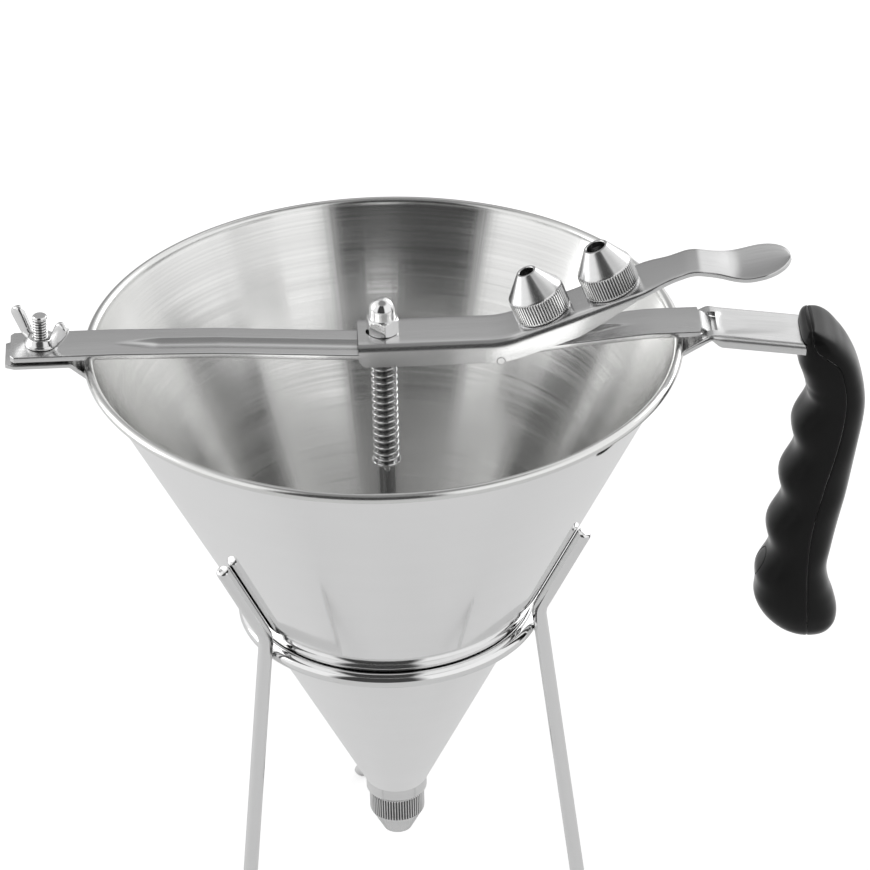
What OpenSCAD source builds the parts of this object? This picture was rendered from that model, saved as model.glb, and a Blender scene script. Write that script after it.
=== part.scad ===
// Piston funnel for batter: a steel cone with a spring-closed outlet valve worked by a
// thumb lever, two spare nozzles parked on the lever, and a three-legged wire stand.
// Millimetres. +Z is up and the stand's feet are on Z = 0. +X points along the crossbar
// to the handle, and the origin is the middle of the whole object's footprint.

/* [Funnel] */
// Diameter over the rolled rim
rim_d = 200; // [190:1:210]
// Height of the rim plane above the table
rim_height = 233; // [226:1:245]
// Diameter of the rolled bead at the rim
bead_d = 3.3; // [2.6:0.1:4]
// Sheet thickness of the cone
wall = 0.9; // [0.7:0.05:1.1]
// Slope of the cone's wall, measured from its axis in degrees
cone_angle = 26.7; // [26:0.1:27.4]
// Diameter of the opening at the bottom of the cone
outlet_d = 19; // [18:0.5:22]

/* [Outlet] */
// Major diameter of the thread that every nozzle screws on
thread_d = 14.8; // [14:0.1:15.4]
// Length of the threaded spigot below its collar
thread_len = 9.5; // [7:0.5:10]
// Height of the spigot's welded collar
collar_h = 4.4; // [4:0.1:6]
// Bore through the spigot
spigot_bore = 10.6; // [9:0.1:11]
// Depth of the conical valve seat in the collar
seat_depth = 3.6; // [3:0.1:3.9]

/* [Nozzles] */
// Diameter over a nozzle's knurled band
knurl_d = 19; // [18.4:0.1:20]
// Height of the knurled band
band_h = 10; // [9:0.5:12]
// Height of the nozzle's cone above its band
tip_h = 9.3; // [8:0.1:11]
// Wall left at the nozzle's mouth
mouth_wall = 0.9; // [0.6:0.1:1.2]
// Mouth diameter of the first parked nozzle
small_mouth = 5; // [4:0.5:6]
// Mouth diameter of the second parked nozzle
medium_mouth = 6.5; // [5:0.5:7]
// Mouth diameter of the nozzle on the outlet
large_mouth = 8; // [6:0.5:8.5]
// Number of grooves in the knurl
knurl_teeth = 44; // [36:1:52]

/* [Stand] */
// Diameter of the stand's wire
wire_d = 5; // [4:0.1:5.6]
// Depth of the ring below the rim
ring_drop = 101.5; // [96:0.5:108]
// Depth of the arms' tips below the rim
arm_drop = 59.6; // [56:0.1:66]
// Distance of each knee from the axis
knee_r = 68; // [66:0.5:74]
// Height of each knee's corner above the table
knee_z = 21; // [16:0.5:26]
// Distance of each foot's flat end from the axis
toe_r = 92; // [88:0.5:95]
// Bend radius of the stand's wire
wire_bend = 9; // [7:0.5:12]
// Direction of the rear leg, in degrees from +X
rear_leg = 97; // [90:1:105]

/* [Crossbar] */
// Width of the crossbar
bar_w = 17; // [16:0.1:18]
// Thickness of the crossbar
bar_t = 2; // [1.6:0.1:2.4]
// Gap between the rim's bead and the bar that crosses it
bar_over_bead = 1.25; // [0.8:0.05:2]
// Depth of the dropped middle of the bar
bar_dip = 4; // [3:0.1:4.5]
// Depth of the rib pressed along the bar
rib_depth = 1.3; // [0.8:0.1:1.6]
// Width of that rib at the bar's top face
rib_w = 6; // [5:0.1:7]
// Distance of the clamping stud beyond the rim
stud_out = 13.5; // [12:0.1:16]
// Diameter of the clamping stud
stud_d = 5; // [4:0.1:5.4]
// Height of the stud's end above the bar
stud_rise = 11; // [10:0.5:14]
// Thickness of the spacer between bar and ear
spacer_t = 1.2; // [1:0.1:1.6]

/* [Lever] */
// Width over the lever's channel
lever_w = 20.4; // [20.4:0.1:22]
// Sheet thickness of the lever
lever_t = 1.5; // [1.2:0.05:1.5]
// Depth of the lever's channel, its top plate included
flange_h = 7.8; // [7.4:0.1:8.4]
// Outer bend radius along the channel's edges
lever_edge = 2.6; // [2:0.1:3]
// Height of the lever's top above the middle of the bar
lever_rise = 3.9; // [3.9:0.1:4.6]
// Distance of the fulcrum from the axis
pivot_x = 38.7; // [37:0.1:41]
// Diameter of the fulcrum pin
pivot_d = 3; // [2.6:0.1:3.4]
// Length of the lever beyond the rod, on the side away from the handle
lever_tail = 8.4; // [8.2:0.1:10]
// Slope of the lever's ramp in degrees
ramp_angle = 19.9; // [18:0.1:21]
// Radius of the bend between the lever's level part and its ramp
ramp_bend = 25; // [20:1:30]
// Distance of the top of the ramp beyond the rim
crest_out = 3; // [1:0.5:6]
// Depth of the dip between the ramp and the thumb rest
thumb_dip = 2.6; // [1.8:0.1:3]
// Diameter of the round thumb rest
thumb_d = 22; // [20:0.5:24]
// Width of the lever's neck
neck_w = 16; // [14:0.5:18]
// Distance of the thumb rest's tip beyond the rim
thumb_out = 35.5; // [33:0.5:37]
// Distance of the two parked nozzles from the axis
park_x = [53.6, 76.6];

/* [Valve rod] */
// Diameter of the rod
rod_d = 5.4; // [5:0.1:5.8]
// Diameter of its threaded top
rod_thread_d = 6; // [5.9:0.1:6.2]
// Width across the flats of the domed nut
nut_af = 10; // [9:0.1:10.4]
// Height of the domed nut
nut_h = 12.4; // [11:0.1:13]
// Diameter of the valve's plug
plug_d = 13; // [12:0.1:14]
// Outer diameter of the return spring
spring_d = 9; // [8.6:0.1:10]
// Wire diameter of the return spring
spring_wire = 1; // [0.8:0.05:1.2]
// Length of the fitted spring
spring_len = 41; // [38:0.5:44]
// Turns of the spring
spring_turns = 17; // [14:1:18]
// Thickness of the spring's washers
washer_t = 1; // [0.8:0.1:1.2]
// Diameter of the pin that carries the lower washer
cross_pin_d = 2; // [1.6:0.1:2.4]

/* [Handle] */
// Width of the handle's strap
strap_w = 21.7; // [20:0.1:23]
// Sheet thickness of strap and ear
strap_t = 1.5; // [1.2:0.05:1.6]
// Depth of the strap's side flanges, the top plate included
strap_flange = 3.9; // [3:0.1:4.4]
// Distance of the strap's corner beyond the rim
strap_out = 8.6; // [8.4:0.1:10]
// Slope of the strap towards the grip in degrees
strap_fall = 8.5; // [7:0.1:9]
// Distance of the grip's back beyond the rim
grip_out = 61; // [59:0.5:63]
// Distance of the grip's collar beyond the rim
collar_out = 38; // [37.5:0.5:39]
// Width of the grip
grip_w = 27; // [26:0.5:30]
// Length of the grip
grip_len = 122; // [116:0.5:126]
// Depth of the finger waves
finger_wave = 1.4; // [0.8:0.1:2]
// Spacing of the finger waves
finger_pitch = 19.7; // [18:0.1:21]

/* [Fits] */
// Gap at faces where one body rests on another
rest_gap = 0.15; // [0.1:0.05:0.3]
// Radial play of a part that turns or slides on a shaft
running_fit = 0.08; // [0.03:0.01:0.1]
// Gap between formed sheet parts that are hooked or slipped together
slip_gap = 0.2; // [0.1:0.05:0.2]

/* [Hidden] */
$fn = 64;
epsilon = 0.01;
far = 300;

// Distances from the axis of what stands beyond the rim
stud_x = rim_d / 2 + stud_out;
crest_x = rim_d / 2 + crest_out;
thumb_reach = rim_d / 2 + thumb_out;
strap_x = rim_d / 2 + strap_out;
grip_face = rim_d / 2 + collar_out;
grip_back = rim_d / 2 + grip_out;

// The funnel's axis stands off the origin, because the ear and the grip reach out unequally.
ear_margin = 12.1;
axis_x = (stud_x + ear_margin - grip_back) / 2;

// Cone: radius of the inside and outside faces at a height z
inner_top_r = rim_d / 2 - bead_d;
function cone_in(z) = inner_top_r - (rim_height - z) * tan(cone_angle);
function cone_out(z) = cone_in(z) + wall / cos(cone_angle);
outlet_z = rim_height - (inner_top_r - outlet_d / 2) / tan(cone_angle);

// Stand: radii of a wire that lies against the cone
function beside_cone(z) = cone_out(z) + (wire_d / 2 + rest_gap) / cos(cone_angle);
ring_z = rim_height - ring_drop;
ring_r = beside_cone(ring_z);
arm_z = rim_height - arm_drop;

// Crossbar: centre line from the ear to the hooked tongue
bar_z = rim_height + bead_d / 2 + bar_over_bead + bar_t / 2;
mid_bar_z = bar_z - bar_dip;
bar_end = stud_x + 10.3;
tongue_w = 12;
tongue_start = strap_x - 3.2;
strap_step = 0.5;
tongue_drop = strap_step + (bar_t + strap_t) / 2 + slip_gap;
tongue_end = strap_x + 5.4;
bar_form = 60;
rib_start = 10 - rim_d / 2;
rib_end = rim_d / 2 - 16;
bar_path = [
    [-bar_end, bar_z, 0], [rib_start, bar_z, bar_form], [-55, bar_z - bar_dip * 0.25, bar_form],
    [-9, mid_bar_z, bar_form], [46, mid_bar_z, bar_form], [rib_end + 4, bar_z, bar_form],
    [tongue_start + 0.6, bar_z, 1.5], [tongue_start + 3.6, bar_z - tongue_drop, 1.5],
    [tongue_end, bar_z - tongue_drop - 0.8, 0]
];
rib_tip = 10;

// Lever: heights of its level top, the fulcrum and the crest of its ramp
bar_top = mid_bar_z + bar_t / 2;
lever_z = bar_top + lever_rise;
pivot_z = mid_bar_z - bar_t / 2 - pivot_d / 2;
lever_bend_x = pivot_x + 0.8;
crest_z = lever_z + (crest_x - lever_bend_x) * tan(ramp_angle);
thumb_x = thumb_reach - thumb_d / 2;

// Valve rod: from the domed nut down to the plug
nut_z = lever_z + rest_gap;
spring_top = mid_bar_z - bar_t / 2 - rib_depth - washer_t;
spring_bottom = spring_top - spring_len;
cross_pin_z = spring_bottom - washer_t - cross_pin_d / 2;
seat_z = outlet_z - seat_depth;

// Ear and strap: centre lines that pass under the bead and end on the cone
ear_z = bar_z - bar_t / 2 - spacer_t - strap_t / 2;
ear_bend_x = rim_d / 2 + 4.1;
ear_path = [[-stud_x - ear_margin, ear_z, 0], [-ear_bend_x, ear_z, 2.5], [-rim_d / 2 + 8, ear_z - 10.5, 0]];
strap_z = bar_z - strap_step;
strap_foot = [rim_d / 2 - 6.5, rim_height - 5.9];
function strap_top(x) = strap_z - (x - strap_x) * tan(strap_fall);

// Grip: sections at heights below the rim plane
grip_top = rim_height + 3.4;
grip_bottom = grip_top - grip_len;

// ---- Helpers -------------------------------------------------------------------------

function unit(v) = v / norm(v);

// Points of a rounded corner b, between its neighbours a and c, with radius r
function corner_arc(a, b, c, r, steps) =
    let (
        u = unit(a - b),
        v = unit(c - b),
        half = acos(max(-1, min(1, u * v))) / 2,
        centre = b + unit(u + v) * r / sin(half),
        p = b + u * r / tan(half) - centre,
        q = b + v * r / tan(half) - centre,
        start = atan2(p.y, p.x),
        turn = (atan2(q.y, q.x) - start + 540) % 360 - 180
    )
    [for (i = [0:steps]) centre + r * [cos(start + turn * i / steps), sin(start + turn * i / steps)]];

// Centre line through corners [x, z, bend radius]
function bent_line(corners, steps = 6) = [
    for (i = [0:len(corners) - 1])
        let (here = [corners[i][0], corners[i][1]])
        each (i == 0 || i == len(corners) - 1 || corners[i][2] == 0
            ? [here]
            : corner_arc([corners[i - 1][0], corners[i - 1][1]], here,
                         [corners[i + 1][0], corners[i + 1][1]], corners[i][2], steps))
];

// A line moved sideways by d, to its left when d is positive
function beside(line, d) = [
    for (i = [0:len(line) - 1])
        let (
            before = unit(line[max(i, 1)] - line[max(i, 1) - 1]),
            after = unit(line[min(i, len(line) - 2) + 1] - line[min(i, len(line) - 2)]),
            along = unit(before + after)
        )
        line[i] + d / max(0.5, along * before) * [-along.y, along.x]
];

function reversed(list) = [for (i = [len(list) - 1:-1:0]) list[i]];

// Draws children, made in a plane, upright in the XZ plane
module upright() rotate([90, 0, 0]) children();

// A bent sheet: the band between two lines beside its centre line
module band(line, above, below, width)
    upright()
        linear_extrude(width, center = true)
            polygon(concat(beside(line, above), reversed(beside(line, -below))));

// A straight round bar from p to q, both in the plane
module bar_between(p, q, d)
    translate([p.x, p.y, 0])
        rotate([0, 0, atan2(q.y - p.y, q.x - p.x)])
            rotate([0, 90, 0])
                cylinder(h = norm(q - p), d = d);

// A round wire bent through corners, with one bend radius
module bent_wire(corners, bend, d) {
    last = len(corners) - 1;
    round_along(bent_line([for (i = [0:last]) [corners[i].x, corners[i].y, i == 0 || i == last ? 0 : bend]], 5), d);
}

// A round bar along a line in the plane
module round_along(line, d, sides = 16)
    sweep(line, [for (i = [0:len(line) - 1]) [for (k = [0:sides - 1]) d / 2 * [cos(360 * k / sides), sin(360 * k / sides)]]]);

// A solid through one section per point of a line, all with the same number of points.
// A section's points are [to the line's left, up], counterclockwise seen from the line's end.
module sweep(line, sections) {
    end = len(line) - 1;
    function before(i) = unit(line[max(i, 1)] - line[max(i, 1) - 1]);
    function along(i) = unit(before(i) + unit(line[min(i, end - 1) + 1] - line[min(i, end - 1)]));
    function left(i) = [-along(i).y, along(i).x] / (along(i) * before(i));
    points = [for (i = [0:end]) for (s = sections[i]) let (p = line[i] + s.x * left(i)) [p.x, p.y, s.y]];
    polyhedron(points, tube_faces(end, len(sections[0])));
}

// Faces of a closed tube made of rings of points, each ring counterclockwise about the run
function tube_faces(rings, sides) = concat(
    [[for (k = [0:sides - 1]) k]],
    [for (i = [0:rings - 1]) for (k = [0:sides - 1])
        [i * sides + k, (i + 1) * sides + k,
         (i + 1) * sides + (k + 1) % sides, i * sides + (k + 1) % sides]],
    [[for (k = [sides - 1:-1:0]) rings * sides + k]]
);

// Round tool along a pressed trough, whose floor follows the points given
module trough(floor_line, r, tool_r)
    upright()
        round_along(beside(floor_line, r), 2 * tool_r, 40);

// Radius of a trough with a given width and depth
function trough_r(width, depth) = (width * width / 4 + depth * depth) / (2 * depth);

// Section of a folded channel below a line: top plate and two flanges with rounded bends
function channel(half, depth, t, edge) =
    let (
        steps = 3,
        inner = min(max(0.2, edge - t), 0.9 * (depth - t)),
        wall = min(t, half * 0.6),
        outer_side = concat([[-depth, -half]], [
            for (i = [0:steps]) let (a = 90 * i / steps) [edge * (sin(a) - 1), edge * (1 - cos(a)) - half]
        ]),
        inner_side = concat([[-depth, wall - half]], [
            for (i = [0:steps]) let (a = 90 * i / steps) [inner * (sin(a) - 1) - t, inner * (1 - cos(a)) + wall - half]
        ])
    )
    concat(outer_side, reversed([for (p = outer_side) [p.x, -p.y]]),
           [for (p = inner_side) [p.x, -p.y]], reversed(inner_side));

// The solid inside the cone's outer face, which trims what is welded to it
module cone_core()
    rotate_extrude()
        polygon([[0, outlet_z], [cone_out(outlet_z), outlet_z], [cone_out(rim_height), rim_height], [0, rim_height]]);

module on_axis() translate([axis_x, 0, 0]) children();

// ---- Stand ---------------------------------------------------------------------------

// The ring that the cone sits in
module stand_ring()
    color("silver")
        on_axis()
            translate([0, 0, ring_z])
                rotate_extrude()
                    translate([ring_r, 0])
                        circle(d = wire_d);

// One leg: an arm along the cone, a shank that passes the ring's outside, and a flat-ground foot
module stand_leg(direction) {
    across = [knee_r - ring_r, ring_z - knee_z];
    shank_lean = atan2(across.x, across.y) - asin(wire_d / norm(across));
    elbow_z = (across.x + knee_z * tan(shank_lean) + ring_z * tan(cone_angle))
        / (tan(shank_lean) + tan(cone_angle));
    tip = [beside_cone(arm_z), arm_z];
    past_toe = [toe_r, 0] + wire_d * unit([toe_r, 0] - [knee_r, knee_z]);
    color("silver")
        on_axis()
            rotate([0, 0, direction])
                intersection() {
                    upright()
                        bent_wire([tip, [beside_cone(elbow_z), elbow_z], [knee_r, knee_z], past_toe],
                                  wire_bend, wire_d);
                    translate([0, -wire_d, 0])
                        cube([far, 2 * wire_d, far]);
                }
}

module stand_leg_rear() stand_leg(rear_leg);
module stand_leg_left() stand_leg(rear_leg + 120);
module stand_leg_right() stand_leg(rear_leg + 240);

// ---- Funnel --------------------------------------------------------------------------

// Spun cone with its edge rolled outwards into a bead
module funnel_cone()
    color("gainsboro")
        on_axis()
            rotate_extrude() {
                polygon([
                    [cone_in(outlet_z), outlet_z], [cone_out(outlet_z), outlet_z],
                    [cone_out(rim_height), rim_height], [inner_top_r, rim_height]
                ]);
                translate([rim_d / 2 - bead_d / 2, rim_height])
                    circle(d = bead_d);
            }

// Turned spigot: collar under the cone, valve seat, bore and nozzle thread
module outlet_spigot() {
    collar_r = cone_out(outlet_z);
    thread_end = outlet_z - collar_h - thread_len;
    color("silver")
        on_axis()
            rotate_extrude()
                polygon([
                    [spigot_bore / 2, thread_end], [thread_d / 2 - 0.6, thread_end],
                    [thread_d / 2, thread_end + 0.6], [thread_d / 2, outlet_z - collar_h],
                    [collar_r - 0.6, outlet_z - collar_h], [collar_r, outlet_z - collar_h + 0.6],
                    [collar_r, outlet_z], [spigot_bore / 2 + seat_depth, outlet_z],
                    [spigot_bore / 2, seat_z]
                ]);
}

// ---- Nozzles -------------------------------------------------------------------------

// Nozzle with its base on z = 0: knurled band, plain cone, threaded socket and mouth
module nozzle(mouth) {
    base_chamfer = 0.5;
    tooth = 0.35;
    socket_h = thread_len + 1.2;
    mouth_land = 2;
    thread_r = thread_d / 2 + running_fit;
    difference() {
        union() {
            translate([0, 0, base_chamfer])
                linear_extrude(band_h - base_chamfer)
                    polygon([
                        for (i = [0:2 * knurl_teeth - 1])
                            (knurl_d / 2 - (i % 2) * tooth) * [cos(180 * i / knurl_teeth), sin(180 * i / knurl_teeth)]
                    ]);
            cylinder(h = band_h, r = knurl_d / 2 - tooth - 0.1);
            translate([0, 0, band_h])
                cylinder(h = tip_h, r1 = knurl_d / 2 - tooth - 0.1, r2 = mouth / 2 + mouth_wall);
        }
        translate([0, 0, -epsilon])
            cylinder(h = socket_h + epsilon, r = thread_r);
        translate([0, 0, socket_h - epsilon])
            cylinder(h = band_h + tip_h - mouth_land - socket_h + epsilon,
                     r1 = thread_r - 0.6, r2 = mouth / 2);
        cylinder(h = 2 * (band_h + tip_h), d = mouth);
    }
}

// Places children on the ramp's top face, square to it, at a distance from the axis
module on_ramp(x, gap)
    translate([x, 0, lever_z + (x - lever_bend_x) * tan(ramp_angle)])
        rotate([0, -ramp_angle, 0])
            translate([0, 0, gap])
                children();

module nozzle_small() color("lightgray") on_axis() on_ramp(park_x[0], rest_gap) nozzle(small_mouth);
module nozzle_medium() color("lightgray") on_axis() on_ramp(park_x[1], rest_gap) nozzle(medium_mouth);

module nozzle_large()
    color("lightgray")
        on_axis()
            translate([0, 0, outlet_z - collar_h - rest_gap])
                rotate([180, 0, 0])
                    nozzle(large_mouth);

post_shank_d = 6;

// Threaded post that a spare nozzle screws on, riveted through the ramp
module nozzle_post(x) {
    head_d = 9;
    head_h = 1;
    color("darkgray")
        on_axis()
            on_ramp(x, 0) {
                cylinder(h = 7, d = thread_d);
                translate([0, 0, -lever_t])
                    cylinder(h = lever_t + 1, d = post_shank_d);
                translate([0, 0, -lever_t - head_h])
                    cylinder(h = head_h, d = head_d);
            }
}

module nozzle_post_near() nozzle_post(park_x[0]);
module nozzle_post_far() nozzle_post(park_x[1]);

// ---- Ear, stud and wing nut ----------------------------------------------------------

// Bracket under the bar's plain end, bent down to the cone's wall
module ear_plate()
    color("silver")
        on_axis()
            difference() {
                band(bent_line(ear_path), strap_t / 2, strap_t / 2, bar_w);
                cone_core();
                translate([-stud_x, 0, 0])
                    cylinder(h = far, d = stud_d);
            }

module ear_stud() {
    foot = ear_z - strap_t / 2;
    top = bar_z + bar_t / 2 + stud_rise;
    chamfer = 0.6;
    color("silver")
        on_axis()
            translate([-stud_x, 0, 0]) {
                translate([0, 0, foot])
                    cylinder(h = top - chamfer - foot, d = stud_d);
                translate([0, 0, top - chamfer])
                    cylinder(h = chamfer, d1 = stud_d, d2 = stud_d - 2 * chamfer);
            }
}

module spacer_washer()
    color("gray")
        on_axis()
            translate([-stud_x, 0, ear_z + strap_t / 2])
                difference() {
                    cylinder(h = spacer_t, d = 2 * stud_d);
                    cylinder(h = far, d = stud_d + 2 * running_fit, center = true);
                }

// Pressed wing nut: flanged foot, tapered boss and two raked wings
module wing_nut() {
    boss_h = 3;
    wing_t = 2.4;
    wing_turn = 139;
    color("gainsboro")
        on_axis()
            translate([-stud_x, 0, bar_z + bar_t / 2 + rest_gap])
                difference() {
                    union() {
                        cylinder(h = 1.4, d = 11);
                        cylinder(h = boss_h, d1 = 10, d2 = 8.6);
                        rotate([0, 0, wing_turn])
                            for (side = [0, 180])
                                rotate([0, 0, side])
                                    upright()
                                        linear_extrude(wing_t, center = true)
                                            wing_outline();
                    }
                    cylinder(h = far, d = stud_d + 2 * running_fit, center = true);
                }
}

// One wing's outline, from the boss out to its round tip
module wing_outline() {
    tip = [9.6, 9.4];
    tip_r = 2.8;
    translate(tip)
        circle(r = tip_r);
    polygon([[3.4, 0.6], [4.6, 0.6], [tip.x + 2.5, tip.y - 1.4], [tip.x - 2.2, tip.y + 1.8], [4, 2.9]]);
}

// ---- Crossbar ------------------------------------------------------------------------

// Flat bar with a dropped middle, a rib pressed along it and a hooked tongue
module crossbar() {
    line = bent_line(bar_path);
    r = trough_r(rib_w, rib_depth);
    top = bar_t / 2;
    low = top - rib_depth;
    floor_line = [
        [rib_start, bar_z + top + epsilon], [rib_start + rib_tip, bar_z + low - 0.15],
        [-55, bar_z - bar_dip * 0.25 + low], [-9, mid_bar_z + low], [46, mid_bar_z + low],
        [rib_end - rib_tip, bar_z - bar_dip * 0.33 + low], [rib_end, bar_z + top - bar_dip * 0.1 + epsilon]
    ];
    color("silver")
        on_axis()
            difference() {
                union() {
                    intersection() {
                        band(line, bar_t / 2, bar_t / 2, bar_w);
                        bar_plan();
                    }
                    intersection() {
                        trough(floor_line, r, r + bar_t);
                        band(line, bar_t / 2, bar_t + rib_depth, bar_w);
                        translate([rib_start, -bar_w / 2, 0])
                            cube([rib_end - rib_start, bar_w, far]);
                    }
                }
                trough(floor_line, r, r);
                translate([pivot_x, 0, pivot_z])
                    upright()
                        cylinder(h = far, d = pivot_d, center = true);
                cylinder(h = far, d = rod_d + 2 * running_fit);
                translate([-stud_x, 0, 0])
                    cylinder(h = far, d = stud_d + 2 * slip_gap);
            }
}

// Plan of the bar: full width up to the strap, then the tongue
module bar_plan() {
    corner = 1.5;
    translate([-bar_end + corner, -bar_w / 2, 0])
        cube([bar_end - corner + tongue_start, bar_w, far]);
    translate([-bar_end, -bar_w / 2 + corner, 0])
        cube([corner + epsilon, bar_w - 2 * corner, far]);
    for (side = [-1, 1])
        translate([-bar_end + corner, side * (bar_w / 2 - corner), 0])
            cylinder(h = far, r = corner);
    translate([0, -tongue_w / 2, 0])
        cube([far, tongue_w, far]);
}

// Pin welded across the underside of the bar, on which the lever rocks
module fulcrum_pin()
    color("dimgray")
        on_axis()
            translate([pivot_x, 0, pivot_z])
                upright()
                    cylinder(h = lever_w + 1.6, d = pivot_d, center = true);

// ---- Lever ---------------------------------------------------------------------------

// Half the lever's width at a distance from the axis, for the neck and the thumb rest
function ease(t) = let (s = max(0, min(1, t))) s * s * (3 - 2 * s);
function lever_half(x) =
    x > thumb_x
        ? sqrt(max(0, pow(thumb_d / 2, 2) - pow(x - thumb_x, 2)))
        : lever_w / 2 + (neck_w - lever_w) / 2 * ease((x - crest_x + 17) / 11)
            + (thumb_d - neck_w) / 2 * ease((x - thumb_x + 15) / 14);

// Formed lever: channel over the bar, ramp with the parked nozzles, neck and thumb rest
module lever() {
    flange_taper = 62;
    flange_end = crest_x - 14;
    slot_run = (flange_h - 0.4) * tan(12) + 1;
    line = concat(
        bent_line([
            [-lever_tail, lever_z, 0], [lever_bend_x, lever_z, ramp_bend],
            [flange_taper, lever_z + (flange_taper - lever_bend_x) * tan(ramp_angle), 0]
        ]),
        [for (x = [flange_taper + 6:5:crest_x - 11]) [x, lever_z + (x - lever_bend_x) * tan(ramp_angle)]],
        [for (p = bent_line([
            [crest_x - 9, crest_z - 9 * tan(ramp_angle), 0], [crest_x, crest_z, 12],
            [thumb_x - 6, crest_z - thumb_dip, 22], [thumb_reach, crest_z + 0.8, 0]
        ], 5)) if (p.x < thumb_x - 1) p],
        [for (i = [0:9])
            let (x = thumb_x + (thumb_d / 2 - 0.05) * sin(10 * i))
            [x, crest_z - thumb_dip + (x - thumb_x + 6) / (thumb_reach - thumb_x + 6) * (thumb_dip + 0.8)]]
    );
    function depth(x) = max(lever_t + 0.1, lookup(x, [
        [flange_taper, flange_h], [flange_taper + 10, flange_h * 0.72], [flange_end - 6, flange_h * 0.3],
        [flange_end, lever_t]
    ]));
    function edge(x) = lookup(x, [[flange_taper, lever_edge], [flange_end - 6, lever_edge * 0.6], [flange_end + 2, 0.4]]);
    color("silver")
        on_axis()
            difference() {
                upright()
                    sweep(line, [for (p = line) channel(lever_half(p.x), depth(p.x), lever_t, edge(p.x))]);
                translate([0, 0, lever_z - lever_t - 1])
                    rod_slot(slot_run);
                for (x = park_x)
                    on_ramp(x, -2 * lever_t)
                        cylinder(h = 3 * lever_t, d = post_shank_d);
                fulcrum_notch();
            }
}

// Slot that lets the lever swing while the rod goes straight up
module rod_slot(run) {
    r = rod_thread_d / 2 + 0.25;
    linear_extrude(2 * lever_t + 1)
        polygon([for (i = [0:23]) let (a = 15 * i - 82.5) [r * cos(a) - (i > 11 ? run : 0), r * sin(a)]]);
}

// Notch in both flanges that sits on the fulcrum pin
module fulcrum_notch() {
    r = pivot_d / 2 + running_fit;
    translate([pivot_x, 0, pivot_z])
        upright()
            linear_extrude(far, center = true)
                polygon(concat(
                    [for (i = [0:12]) r / cos(7.5) * [cos(15 * i), sin(15 * i)]],
                    [[-r - 1, -flange_h], [r + 1, -flange_h]]
                ));
}

// ---- Valve ---------------------------------------------------------------------------

module piston_rod() {
    thread_start = bar_top + 0.6;
    plug_top = seat_z + plug_d / 2 + 1;
    color("gainsboro")
        on_axis()
            difference() {
                union() {
                    translate([0, 0, plug_top])
                        cylinder(h = thread_start - plug_top, d = rod_d);
                    translate([0, 0, thread_start])
                        cylinder(h = nut_z + nut_h * 0.55 - thread_start, d = rod_thread_d);
                }
                translate([0, 0, cross_pin_z])
                    upright()
                        cylinder(h = far, d = cross_pin_d, center = true);
            }
}

// Conical plug on the rod's lower end, which closes the seat in the spigot
module valve_plug() {
    nose_r = spigot_bore / 2 - 0.9;
    lift = rest_gap * sqrt(2);
    plug_r = plug_d / 2;
    cone_z = seat_z + lift + nose_r - spigot_bore / 2;
    color("gray")
        on_axis()
            rotate_extrude()
                polygon([
                    [0, cone_z - 3], [nose_r - 1, cone_z - 3], [nose_r, cone_z - 2], [nose_r, cone_z],
                    [plug_r, cone_z + plug_r - nose_r], [plug_r, seat_z + plug_r - 0.5],
                    [rod_d / 2 + 0.8, seat_z + plug_r + 1], [0, seat_z + plug_r + 1]
                ]);
}

module spring_washer(z)
    color("gray")
        on_axis()
            translate([0, 0, z])
                difference() {
                    cylinder(h = washer_t, d = spring_d + 1);
                    cylinder(h = far, d = rod_d + 2 * running_fit, center = true);
                }

module upper_washer() spring_washer(spring_top);
module lower_washer() spring_washer(spring_bottom - washer_t);

// Compression spring: a round wire swept along a helix with closed end turns
module return_spring() {
    sides = 6;
    per_turn = 16;
    rings = spring_turns * per_turn;
    r = (spring_d - spring_wire) / 2;
    dead = 0.06;
    rise = spring_len - spring_wire;
    function height(t) =
        let (first = spring_wire / rise, s = (t - dead) / (1 - 2 * dead))
        t < dead ? first * t / dead : t > 1 - dead ? 1 - first * (1 - t) / dead : first + (1 - 2 * first) * s;
    points = [
        for (i = [0:rings])
            let (turn = 360 * i / per_turn, z = spring_bottom + spring_wire / 2 + rise * height(i / rings))
            for (k = [0:sides - 1])
                let (a = 360 * k / sides, rr = r + spring_wire / 2 * sin(a))
                [rr * cos(turn), rr * sin(turn), z + spring_wire / 2 * cos(a)]
    ];
    color("silver")
        on_axis()
            polyhedron(points, tube_faces(rings, sides));
}

module cross_pin()
    color("silver")
        on_axis()
            translate([0, 0, cross_pin_z])
                upright()
                    cylinder(h = spring_d, d = cross_pin_d, center = true);

// Domed nut that draws the rod up when the lever rises
module domed_nut() {
    hex_h = nut_h * 0.44;
    dome_r = nut_af * 0.44;
    color("gainsboro")
        on_axis()
            translate([0, 0, nut_z])
                difference() {
                    union() {
                        rotate([0, 0, 37])
                            intersection() {
                                cylinder(h = hex_h, d = nut_af / cos(30), $fn = 6);
                                cylinder(h = hex_h, r1 = nut_af / 2, r2 = nut_af / 2 + 1.4 * hex_h);
                            }
                        cylinder(h = nut_h - dome_r, r = dome_r);
                        translate([0, 0, nut_h - dome_r])
                            sphere(r = dome_r);
                    }
                    translate([0, 0, -1])
                        cylinder(h = 1 + nut_h * 0.62, d = rod_thread_d);
                }
}

// ---- Handle --------------------------------------------------------------------------

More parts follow.
